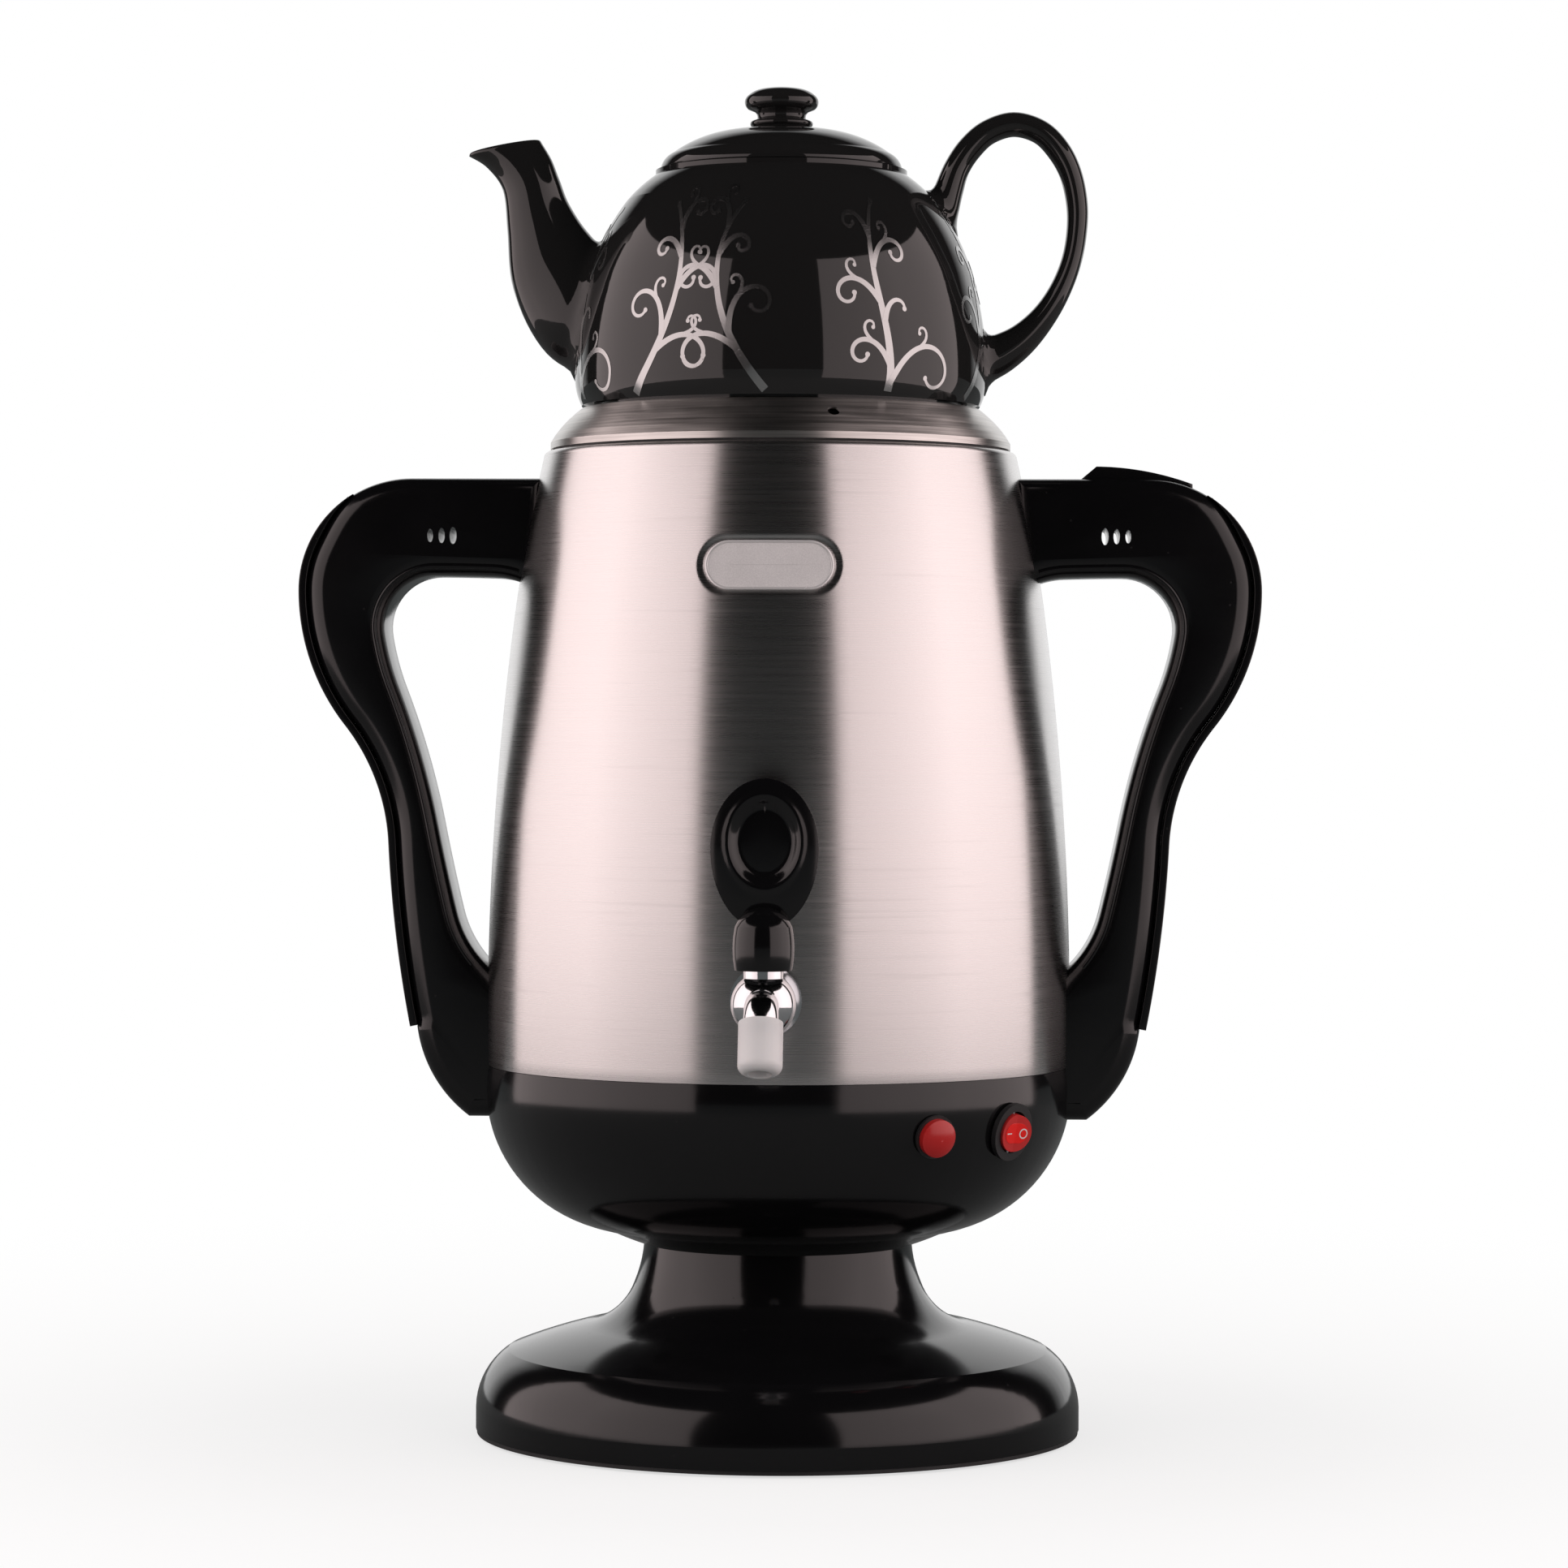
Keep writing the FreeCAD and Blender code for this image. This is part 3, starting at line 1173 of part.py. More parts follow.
up = Vector(0, 0, 1)
ear_path.addGeometry([
    Part.LineSegment(flat((S.ear_x, S.ear_foot_z)), flat((S.ear_x, S.ear_z))),
    Part.ArcOfCircle(Part.Circle(flat(bend_centre), up, float(S.ear_bend)), 0, math.pi),
    Part.LineSegment(flat((ear_back_x, S.ear_z)), flat((ear_back_x, ear_low_z))),
    Part.ArcOfCircle(Part.Circle(flat(sweep_centre), up, float(S.ear_sweep)), -turn_angle, 0),
])
ear_rules = [Sketcher.Constraint("Coincident", *pair) for pair in ((0, 2, 1, 2), (1, 1, 2, 1), (2, 2, 3, 2))]
ear_bound = (
    (("DistanceX", -1, 1, 0, 1), S.ear_x),
    (("DistanceY", -1, 1, 0, 1), S.ear_foot_z),
    (("DistanceX", -1, 1, 0, 2), S.ear_x),
    (("DistanceY", -1, 1, 0, 2), S.ear_z),
    (("DistanceX", -1, 1, 2, 1), ear_back_x),
    (("DistanceY", -1, 1, 2, 1), S.ear_z),
    (("DistanceX", -1, 1, 2, 2), ear_back_x),
    (("DistanceY", -1, 1, 2, 2), ear_low_z),
    (("DistanceY", -1, 1, 1, 3), S.ear_z),
    (("DistanceX", -1, 1, 3, 1), ear_end[0]),
    (("DistanceY", -1, 1, 3, 1), ear_end[1]),
    (("Radius", 3), S.ear_sweep),
)
first_bound = len(ear_rules)
ear_rules += [Sketcher.Constraint(*parts, size.value) for parts, size in ear_bound]
ear_path.addConstraint(ear_rules)
for k, (parts, size) in enumerate(ear_bound):
    ear_path.setExpression(f"Constraints[{first_bound + k}]", size.text)
ear_section = ear.newObject("Sketcher::SketchObject", "ear_section")
ear_section.AttachmentSupport = [(origin_plane(ear, "XY_Plane"), "")]
ear_section.MapMode = "FlatFace"
ear_section.AttachmentOffset = Placement(Vector(0, 0, float(S.ear_foot_z)), Rotation())
ear_section.setExpression("AttachmentOffset.Base.z", S.ear_foot_z.text)
middle = flat((S.ear_x, 0))
tall = middle + Vector(0, float(S.ear_wide), 0)
wide = middle + Vector(float(S.ear_thick), 0, 0)
ear_section.addGeometry(Part.Ellipse(tall, wide, middle))
ear_section.recompute()
ear_pipe = ear.newObject("PartDesign::AdditivePipe", "ear_pipe")
ear_pipe.Profile = ear_section
ear_pipe.Spine = (ear_path, [])
doc.recompute()
keep("teapot_handle", cut(ear, pot_solid))

# Teapot lid

lid_seat = rim_top
lid_edge_z = lid_seat + S.pot_lid_rim + S.pot_lid_edge
dome_under = S.pot_lid_dome_z - S.pot_lid_wall
skirt_in = S.pot_lid_skirt_r - S.pot_lid_wall
pot_lid = turned("pot_lid_turning", [
    (S.pot_lid_r, lid_seat),
    (S.pot_lid_r, lid_seat + S.pot_lid_rim),
    (S.pot_lid_edge_r, lid_edge_z, S.pot_lid_edge * 1.6),
    (S.pot_lid_dome_r, S.pot_lid_dome_z, S.pot_lid_dome_round),
    (S.knob_neck_r, S.knob_neck_z, -S.knob_neck_round),
    (S.knob_r, S.knob_z, -S.knob_round),
    (S.knob_top_r, S.knob_top_z, S.knob_top_round),
    (0, S.total_height, dome(S.knob_top_r, S.total_height - S.knob_top_z)),
    (0, dome_under),
    (S.pot_lid_dome_r, dome_under),
    (skirt_in, lid_seat + S.pot_lid_rim, -S.pot_lid_dome_round),
    (skirt_in, lid_seat - S.pot_lid_skirt),
    (S.pot_lid_skirt_r, lid_seat - S.pot_lid_skirt),
    (S.pot_lid_skirt_r, lid_seat),
])
keep("teapot_lid", pot_lid)

# Tap

bend_y = -S.tap_y - S.spout_start
bend_z = S.tap_z - S.spout_bend
BEND_TURN = Rotation(Vector(0, 0, 1), Vector(0, -1, 0), Vector(1, 0, 0), "XYZ")
spout_angle = math.radians(float(S.spout_turn))
end_y = bend_y - S.spout_bend * math.sin(spout_angle)
end_z = bend_z + S.spout_bend * math.cos(spout_angle)
SPOUT_DOWN = Rotation(Vector(1, 0, 0), 90 + float(S.spout_turn))
TO_FRONT = Rotation(Vector(1, 0, 0), 90)


def spout_run(radius, tail):
    """The tap's spout, or its bore: a straight run, a bend and a straight end."""
    bend = bind(add("Part::Torus"), Radius1=S.spout_bend, Radius2=radius, Angle3=S.spout_turn)
    place(bend, 0, bend_y, bend_z, BEND_TURN)
    return fuse(
        cylinder(radius, S.spout_start, 0, -S.tap_y, S.tap_z, TO_FRONT),
        bend,
        cylinder(radius, tail, 0, end_y, end_z, SPOUT_DOWN),
    )


ball = place(bind(add("Part::Sphere"), Radius=S.ball_r), 0, -S.tap_y, S.tap_z)
tap_solid = fuse(
    ball,
    cylinder(S.tap_neck_r, S.tap_neck_z - S.tap_z, 0, -S.tap_y, S.tap_z),
    cylinder(S.shank_r, S.tap_y - S.shank_end_y, 0, -S.tap_y, S.tap_z, ALONG_Y),
    spout_run(S.spout_r, S.spout_tail),
)
tap_bores = fuse(
    cylinder(S.chamber_r, S.tap_neck_z - S.chamber_z, 0, -S.tap_y, S.chamber_z),
    cylinder(S.shank_bore_r, S.tap_y - S.shank_end_y, 0, -S.tap_y, S.tap_z, ALONG_Y),
    spout_run(S.spout_bore_r, S.spout_tail),
)
keep("tap_body", cut(tap_solid, tap_bores))

shank_gap = S.shank_r + S.screw_play
rose_hole = cylinder(shank_gap, S.tap_y, 0, -S.tap_y, S.tap_z, ALONG_Y)
rose_disc = cylinder(S.rose_r, S.rose, 0, -S.rose_y - S.rose, S.tap_z, ALONG_Y)
keep("tap_escutcheon", cut(rose_disc, rose_hole))
washer_disc = cylinder(S.washer_r, S.rose, 0, -S.rose_y, S.tap_z, ALONG_Y)
washer_hole = cylinder(shank_gap, S.tap_y, 0, -S.tap_y, S.tap_z, ALONG_Y)
keep("tap_washer", cut(cut(washer_disc, washer_hole), body_form))
sleeve_start = S.shell_r - S.shell_wall - S.fit_gap * 4
sleeve_length = sleeve_start - S.tank_r - S.fit_gap
sleeve = cylinder(S.washer_r - S.rose / 3, sleeve_length, 0, -sleeve_start, S.tap_z, ALONG_Y)
sleeve_hole = cylinder(shank_gap, S.tap_y, 0, -S.tap_y, S.tap_z, ALONG_Y)
keep("tap_sleeve", cut(sleeve, sleeve_hole))
washer_out = S.tank_r - S.tank_wall
nut_y = washer_out - S.inner_washer
inner_disc = common(
    cylinder(S.washer_r, S.inner_washer, 0, -washer_out, S.tap_z, ALONG_Y),
    cylinder(washer_out - S.trim_gap, S.tap_z, z=S.tap_z / 2),
)
inner_hole = cylinder(shank_gap, S.tap_y, 0, -S.tap_y, S.tap_z, ALONG_Y)
keep("tap_inner_washer", cut(inner_disc, inner_hole))
nut_bore = cylinder(S.shank_r + S.pin_play, S.tap_nut, 0, -nut_y, S.tap_z, ALONG_Y)
tap_nut = hexagon(S.tap_nut_width, S.tap_nut, 0, -nut_y, S.tap_z, ALONG_Y)
keep("tap_nut", cut(tap_nut, nut_bore))

nozzle = turned("nozzle_turning", [
    (S.spout_r + S.screw_play, 0),
    (S.nozzle_r, 0),
    (S.nozzle_r, S.nozzle_length - S.nozzle_round),
    (S.nozzle_r - S.nozzle_round, S.nozzle_length, S.nozzle_round),
    (S.nozzle_bore_r - S.screw_play, S.nozzle_length),
    (S.nozzle_bore_r - S.screw_play, S.spout_tail + S.screw_play),
    (S.spout_r + S.screw_play, S.spout_tail + S.screw_play),
])
nozzle.Placement = Placement(Vector(0, float(end_y), float(end_z)), SPOUT_DOWN)
keep("tap_nozzle", nozzle)

bonnet_in = S.bonnet_end_r - S.bonnet_wall
bonnet_rise = S.bonnet_top_z - S.bonnet_side_z
bonnet_turn = turned("bonnet_turning", [
    (S.stem_r + S.stem_play, S.tap_neck_z),
    (S.bonnet_end_r, S.tap_neck_z),
    (S.bonnet_end_r, S.bonnet_side_z, S.bonnet_side_round),
    (0, S.bonnet_top_z, dome(S.bonnet_end_r, bonnet_rise)),
    (0, S.bonnet_top_z - S.bonnet_wall),
    (bonnet_in, S.bonnet_side_z, -dome(bonnet_in, bonnet_rise - S.bonnet_wall)),
    (bonnet_in, S.tap_neck_z + S.bonnet_floor),
    (S.stem_r + S.stem_play, S.tap_neck_z + S.bonnet_floor),
])
place(bonnet_turn, 0, -S.tap_y, 0)
bonnet_slot = block(
    (-S.slot_reach, S.slot_reach),
    (-S.slot_front_y, -S.rose_y),
    (S.pivot_z - S.hub_r - S.fit_gap * 2, S.bonnet_top_z),
)
pin_length = S.lever_pin_reach * 2
bonnet_pin_hole = cylinder(
    S.lever_pin_r + S.pin_play, pin_length, -S.lever_pin_reach, -S.pivot_y, S.pivot_z, ALONG_X
)
keep("tap_bonnet", cut(bonnet_turn, fuse(bonnet_slot, bonnet_pin_hole)))
keep("lever_pin", cylinder(S.lever_pin_r, pin_length, -S.lever_pin_reach, -S.pivot_y, S.pivot_z, ALONG_X))

fork_top = S.pivot_z + S.fork / 2
stem_low = S.chamber_z + S.fit_gap + S.cup / 2
head_under = fork_top + S.stem_lift_gap
stem = fuse(
    cylinder(S.stem_r, head_under - stem_low, 0, -S.tap_y, stem_low),
    cylinder(S.stem_head_r, S.stem_head, 0, -S.tap_y, head_under),
)
keep("valve_stem", stem)
cup_low = S.chamber_z + S.fit_gap
cup_hole = cylinder(S.stem_r, S.cup, 0, -S.tap_y, stem_low)
keep("seat_cup", cut(cylinder(S.cup_r, S.cup, 0, -S.tap_y, cup_low), cup_hole))
spring = coil(
    "valve_spring_coil", S.spring_r, S.spring_wire_r, S.spring_turns,
    cup_low + S.cup + S.fit_gap / 3, S.tap_neck_z - S.fit_gap / 3,
)
place(spring, 0, -S.tap_y, 0)
keep("valve_spring", spring)

# Lever: paddle, arm, hub and fork

paddle_half = S.paddle_thickness / 2
neck_reach = S.hub_reach
paddle_body = doc.addObject("PartDesign::Body", "paddle")
paddle_sketch = draw(paddle_body, "paddle_outline", "XZ_Plane", [[
    (-neck_reach, S.pivot_z),
    (neck_reach, S.pivot_z),
    (neck_reach, S.paddle_neck_z),
    (S.paddle_reach, S.paddle_z, S.paddle_side_round),
    (0, S.paddle_top_z, S.paddle_top_round),
    (-S.paddle_reach, S.paddle_z, S.paddle_top_round),
    (-neck_reach, S.paddle_neck_z, S.paddle_side_round),
]])
paddle_pad = paddle_body.newObject("PartDesign::Pad", "paddle_pad")
paddle_pad.Profile = paddle_sketch
paddle_pad.SideType = "Symmetric"
bind(paddle_pad, Length=S.paddle_thickness)
doc.recompute()
place(paddle_body, 0, -S.paddle_back_y - paddle_half, 0)
dish_y = -S.paddle_back_y - S.paddle_thickness - S.dish_r + S.dish_depth
dish = place(bind(add("Part::Sphere"), Radius=S.dish_r), 0, dish_y, S.paddle_z + S.fork)
hub = cylinder(S.hub_r, S.hub_reach * 2, -S.hub_reach, -S.pivot_y, S.pivot_z, ALONG_X)
fork_y = (-S.pivot_y - S.fork_reach, -S.pivot_y)
fork_z = (S.pivot_z - S.fork / 2, fork_top)
fork = cut(
    block((-S.hub_reach, S.hub_reach), fork_y, fork_z),
    block((-S.fork_slot, S.fork_slot), (-S.pivot_y - S.fork_reach * 2, -S.pivot_y - S.hub_r), fork_z),
)
lever_bore = cylinder(
    S.lever_pin_r + S.pin_play, pin_length, -S.lever_pin_reach, -S.pivot_y, S.pivot_z, ALONG_X
)
lever_solid = cut(fuse(cut(paddle_body, dish), hub, fork), lever_bore)
keep("tap_lever", lever_solid)

# Handles: one full form, split into grip, cover and well for the button

corner_x = S.grip_reach - S.grip_corner_round
corner_z = S.grip_top_z - S.grip_corner_round
cover_rise = math.sqrt(float(S.grip_corner_round) ** 2 - float(S.grip_cover_x - corner_x) ** 2)
cover_chain = [(S.grip_cover_x, corner_z + cover_rise), (S.grip_reach, corner_z, -S.grip_corner_round)]
cover_chain += flowing([
    (S.grip_reach, corner_z),
    (S.grip_bulge_x, S.grip_bulge_z),
    (S.grip_waist_x, S.grip_waist_z),
    (S.grip_step_x, S.grip_step_z),
    (S.grip_foot_x + S.grip_step, S.grip_foot_z),
    (S.grip_foot_x - S.grip_end_wall, S.grip_foot_end_z),
], -90)[1:]
grip_bottom = cover_chain[5:]
cover_chain = cover_chain[:5]
gap_chain = [(S.gap_foot_x - S.grip_end_wall, S.gap_foot_z - S.grip_end_wall)]
gap_chain += flowing([
    (S.gap_foot_x, S.gap_foot_z),
    (S.gap_low_x, S.gap_low_z),
    (S.gap_waist_x, S.gap_waist_z),
    (S.gap_bulge_x, S.gap_bulge_z),
    (S.gap_side_x, S.gap_side_z),
    (S.gap_corner_x, S.gap_corner_z),
    (S.gap_rise_x, S.gap_rise_z),
    (S.gap_top_x, S.gap_top_z),
], 45)
gap_chain.append((S.grip_root_x, S.gap_top_z))
grip_top = [
    (S.grip_root_x, S.grip_top_z),
    (corner_x, S.grip_top_z),
    (S.grip_cover_x, corner_z + cover_rise, -S.grip_corner_round),
]
grip_outline = grip_top + cover_chain[1:] + grip_bottom + gap_chain
grip_full = raised("grip_form", "XZ_Plane", [grip_outline], S.grip_half * 2)


def side_edges(shape, reach):
    """Names of the edges that lie on both side faces, away from the body."""
    names = []
    for k, edge in enumerate(shape.Edges, start=1):
        box = edge.BoundBox
        on_side = box.YLength < 1e-6 and abs(abs(box.YMin) - reach) < 1e-6
        if on_side and box.XMax > float(S.gap_foot_x):
            names.append(f"Edge{k}")
    return names


grip_pad = grip_full.Tip
grip_soft = grip_full.newObject("PartDesign::Fillet", "grip_rounding")
grip_soft.Base = (grip_pad, side_edges(grip_full.Shape, float(S.grip_half)))
bind(grip_soft, Radius=S.grip_round)
grip_full.Tip = grip_soft
doc.recompute()

strip_outline = inset(cover_chain, S.plastic_wall) + backwards(inset(cover_chain, -S.plastic_wall))
cover_strip = raised("cover_strip", "XZ_Plane", [strip_outline], S.grip_half * 3)
foot_chain = [
    (S.grip_step_x - S.grip_step, S.grip_step_z),
    (S.grip_foot_x, S.grip_foot_z - S.grip_step, -S.grip_foot_round),
]
step_outline = foot_chain + backwards(inset(foot_chain, S.grip_step * 3))
foot_step = raised("foot_step", "XZ_Plane", [step_outline], S.grip_half * 3)
hollow_outline = inset(grip_outline + grip_outline[:1], -S.plastic_wall)[:-1]
hollow_depth = (S.grip_half - S.plastic_wall) * 2
grip_hollow = raised("grip_hollow", "XZ_Plane", [hollow_outline], hollow_depth)
hollow_guard = outside(S.grip_end_wall, "hollow_guard")
block_top = S.grip_top_z + S.button_block
block_low = S.button_bottom_z - S.button_well - S.button_block
button_block = block(
    (S.button_start_x - S.button_block, S.grip_cover_x),
    (-S.grip_half, S.grip_half),
    (block_low, block_top),
)
slots = []
for step, drop in ((-1, 0), (0, S.slot_height / 12), (1, S.slot_height / 6)):
    x = S.slot_x + S.slot_pitch * step
    half_slot = S.slot_height / 2 - drop
    slots.append(block(
        (x - S.slot_width / 2, x + S.slot_width / 2),
        (-S.grip_half * 2, S.grip_half * 2),
        (S.slot_z - half_slot, S.slot_z + half_slot),
    ))
grip_trimmed = cut(grip_full, body_form)
grip_cover = common(grip_trimmed, cover_strip)
grip_shell = cut(
    grip_trimmed,
    fuse(cover_strip, foot_step, cut(grip_hollow, fuse(hollow_guard, button_block)), *slots),
)
grip_drilled = cut(grip_shell, grip_holes)
keep("handle_left", mirrored(grip_drilled))
keep("handle_left_cover", mirrored(grip_cover))
well = block(
    (S.button_start_x - S.button_play, S.button_end_x + S.button_play),
    (-S.button_half - S.button_play / 2, S.button_half + S.button_play / 2),
    (S.button_bottom_z - S.button_well, block_top),
)
button_pin_length = S.button_pin_reach * 2
button_pin_spot = (S.button_pin_x, -S.button_pin_reach, S.button_pin_z, ALONG_Y)
button_pin_hole = cylinder(S.button_pin_r + S.pin_play, button_pin_length, *button_pin_spot)
keep("handle_right", cut(grip_drilled, fuse(well, button_pin_hole)))
keep("handle_right_cover", grip_cover)

# Thumb button on the right handle

button_side = raised("button_side", "XZ_Plane", [[
    (S.button_start_x, S.button_bottom_z),
    (S.button_start_x, S.grip_top_z - S.button_play),
    (S.button_peak_x, S.button_peak_z),
    (S.button_end_x, S.button_end_z, -S.button_round),
    (S.button_end_x, S.button_bottom_z),
]], S.button_half * 2)
button_bore = cylinder(S.button_pin_r + S.pin_play, button_pin_length, *button_pin_spot)
keep("thumb_button", cut(button_side, button_bore))
keep("button_pin", cylinder(S.button_pin_r, button_pin_length, *button_pin_spot))
button_spring_x = S.button_start_x + S.button_spring_r * 3
button_spring = coil(
    "button_spring_coil", S.button_spring_r, S.button_spring_wire_r, S.button_spring_turns,
    S.button_bottom_z - S.button_well + S.fit_gap / 3, S.button_bottom_z - S.fit_gap / 3,
)
place(button_spring, button_spring_x, 0, 0)
keep("button_spring", button_spring)

# Wires from the inlet round the bowl to lamp and switch

wire_z = S.inlet_z - S.blade_width / 2 - S.wire_r - S.screw_play
wire_ring = bind(add("Part::Torus"), Radius1=S.wire_ring_r, Radius2=S.wire_r)
wire_start = -90 + float(S.lamp_azimuth)
wire_turn = 180 - float(S.lamp_azimuth)
wire_ring.Angle3 = wire_turn
place(wire_ring, 0, 0, wire_z, Rotation(Vector(0, 0, 1), wire_start))


def wire_riser(azimuth, depth):
    """A straight lead from the ring of wires out to a control's inner end."""
    angle = math.radians(azimuth)
    ring_point = Vector(
        float(S.wire_ring_r) * math.sin(angle), -float(S.wire_ring_r) * math.cos(angle), float(wire_z)
    )
    spot = lamp_place if azimuth < float(S.switch_azimuth) else switch_place
    end_point = spot.multVec(Vector(0, 0, -float(depth)))
    way = (end_point - ring_point).normalize()
    start_point = ring_point + way * (float(S.wire_r) + float(S.screw_play))
    lead = bind(add("Part::Cylinder"), Radius=S.wire_r)
    lead.Height = start_point.distanceToPoint(end_point)
    lead.Placement = Placement(start_point, Rotation(Vector(0, 0, 1), way))
    return lead


lamp_lead = wire_riser(float(S.lamp_azimuth), S.lamp_barrel + S.fit_gap)
switch_lead = wire_riser(float(S.switch_azimuth), S.switch_barrel + S.terminal_length + S.rocker_play)
keep("wiring", group(wire_ring, lamp_lead, switch_lead))

# Checks and files

doc.recompute()
failed = [item.Label for item in doc.Objects if {"Invalid", "Error"} & set(item.State)]
for item in PARTS:
    if item.Shape.isNull() or not item.Shape.isValid() or not item.Shape.Solids:
        failed.append(item.Label + " shape")
if failed:
    raise RuntimeError("failed objects: " + ", ".join(failed))
os.makedirs("parts", exist_ok=True)
for item in PARTS:
    item.Shape.exportStep(os.path.join("parts", item.Label + ".step"))
print(len(PARTS), "sub-parts written")
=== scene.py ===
"""Looks of an electric samovar with its teapot.

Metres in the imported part's own frame: +Z up, front towards -Y, teapot spout towards -X.
Shape sizes are written in millimetres and turned to metres where a mesh is made.
"""
import json
import logging
import math
from dataclasses import dataclass, field
from enum import Enum
from typing import Any, Iterable, Sequence

import bmesh
import bpy
from mathutils import Matrix, Vector

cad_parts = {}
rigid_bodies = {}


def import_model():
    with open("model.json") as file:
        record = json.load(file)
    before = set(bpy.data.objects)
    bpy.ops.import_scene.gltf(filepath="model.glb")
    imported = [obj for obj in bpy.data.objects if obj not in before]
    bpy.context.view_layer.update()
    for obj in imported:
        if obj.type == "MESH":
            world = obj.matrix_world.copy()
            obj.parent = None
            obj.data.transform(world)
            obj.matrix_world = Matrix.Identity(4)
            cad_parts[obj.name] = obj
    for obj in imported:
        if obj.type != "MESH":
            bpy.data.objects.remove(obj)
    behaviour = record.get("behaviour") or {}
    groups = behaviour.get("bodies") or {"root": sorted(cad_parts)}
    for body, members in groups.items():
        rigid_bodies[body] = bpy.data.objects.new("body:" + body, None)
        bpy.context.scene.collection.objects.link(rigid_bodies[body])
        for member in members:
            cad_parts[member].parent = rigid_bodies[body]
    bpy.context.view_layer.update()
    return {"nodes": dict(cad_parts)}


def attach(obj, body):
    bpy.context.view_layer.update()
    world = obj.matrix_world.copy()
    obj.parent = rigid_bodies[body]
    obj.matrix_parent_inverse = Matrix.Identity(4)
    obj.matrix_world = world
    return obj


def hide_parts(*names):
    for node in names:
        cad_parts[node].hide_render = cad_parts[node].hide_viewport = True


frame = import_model()

logging.basicConfig(level=logging.INFO, format="%(message)s")
log = logging.getLogger("samovar")

MM = 0.001
Point = tuple[float, float]
Color = tuple[float, float, float]
Vertex = tuple[float, float, float]
Face = tuple[int, ...]
Shape = tuple[list[Vertex], list[Face]]


# Outlines


def centre_of(start: Point, end: Point, radius: float) -> Point:
    """Finds the centre of an arc between two points.

    Args:
        start: Where the arc starts.
        end: Where it ends.
        radius: Its radius; positive turns left, negative right.

    Returns:
        The centre.
    """
    across, up = end[0] - start[0], end[1] - start[1]
    chord = math.hypot(across, up)
    height = math.sqrt(max(radius * radius - chord * chord / 4, 0.0))
    side = math.copysign(height / chord, radius)
    return ((start[0] + end[0]) / 2 - side * up, (start[1] + end[1]) / 2 + side * across)


class Outline:
    """A line of points in a plane, drawn with straight runs and arcs, in millimetres."""

    def __init__(self, start: Point, step: float = 2.0) -> None:
        """Starts the line; step is the longest piece of an arc."""
        self.points: list[Point] = [start]
        self.step = step

    def line(self, *corners: Point) -> "Outline":
        """Runs straight through the corners and returns itself."""
        self.points.extend(corners)
        return self

    def arc(self, end: Point, radius: float) -> "Outline":
        """Runs round an arc.

        Args:
            end: Where the arc ends.
            radius: Its radius; positive turns left, negative right.

        Returns:
            Itself.
        """
        start = self.points[-1]
        centre = centre_of(start, end, radius)
        first = math.atan2(start[1] - centre[1], start[0] - centre[0])
        turn = math.atan2(end[1] - centre[1], end[0] - centre[0]) - first
        turn = turn % math.tau if radius > 0 else -((-turn) % math.tau)
        count = max(3, math.ceil(abs(turn * radius) / self.step), math.ceil(abs(turn) / 0.12))
        for k in range(1, count + 1):
            angle = first + turn * k / count
            across, up = abs(radius) * math.cos(angle), abs(radius) * math.sin(angle)
            self.points.append((centre[0] + across, centre[1] + up))
        return self

    def run(self, steps: Iterable[tuple[float, float, float]]) -> "Outline":
        """Runs through (x, y, radius) steps, straight where the radius is 0.

        Args:
            steps: The places to reach, each with its arc's radius.

        Returns:
            Itself.
        """
        for x, y, radius in steps:
            if radius:
                self.arc((x, y), radius)
            else:
                self.line((x, y))
        return self

    def flow(self, heading: float, ends: Iterable[Point]) -> "Outline":
        """Runs through points by arcs that join without a kink.

        Args:
            heading: Direction of travel at the start, in degrees.
            ends: The points to pass.

        Returns:
            Itself.
        """
        way = math.radians(heading)
        for end in ends:
            start = self.points[-1]
            across, up = end[0] - start[0], end[1] - start[1]
            bend = math.remainder(math.atan2(up, across) - way, math.tau)
            way += 2 * bend
            self.arc(end, math.hypot(across, up) / (2 * math.sin(bend)))
        return self


def offset(points: Sequence[Point], distance: float) -> list[Point]:
    """Moves a line sideways.

    Args:
        points: The line.
        distance: How far; positive is to the left of its travel.

    Returns:
        The moved line.
    """
    moved = []
    for k, point in enumerate(points):
        before = points[max(k - 1, 0)]
        after = points[min(k + 1, len(points) - 1)]
        across, up = after[0] - before[0], after[1] - before[1]
        length = math.hypot(across, up)
        moved.append((point[0] - distance * up / length, point[1] + distance * across / length))
    return moved


def radius_at(profile: Sequence[Point], height: float) -> float:
    """Reads a profile at a height.

    Args:
        profile: Points as (radius, height).
        height: Where to read it.

    Returns:
        The radius there, or at the nearer end.
    """
    for (r0, z0), (r1, z1) in zip(profile, profile[1:]):
        if min(z0, z1) <= height <= max(z0, z1) and z0 != z1:
            return r0 + (r1 - r0) * (height - z0) / (z1 - z0)
    return profile[0][0] if height < profile[0][1] else profile[-1][0]


def smooth(rows: Sequence[Sequence[float]], pieces: int) -> list[list[float]]:
    """Puts smooth rows of numbers between given ones.

    Args:
        rows: The given rows.
        pieces: How many pieces each gap is cut into.

    Returns:
        All rows.
    """
    full = []
    for k in range(len(rows) - 1):
        near = [rows[min(max(k + step, 0), len(rows) - 1)] for step in (-1, 0, 1, 2)]
        for t in (step / pieces for step in range(pieces)):
            row = []
            for a, b, c, d in zip(*near):
                square, cube = 2 * a - 5 * b + 4 * c - d, 3 * b - a - 3 * c + d
                row.append(0.5 * (2 * b + (c - a) * t + square * t * t + cube * t ** 3))
            full.append(row)
    full.append(list(rows[-1]))
    return full


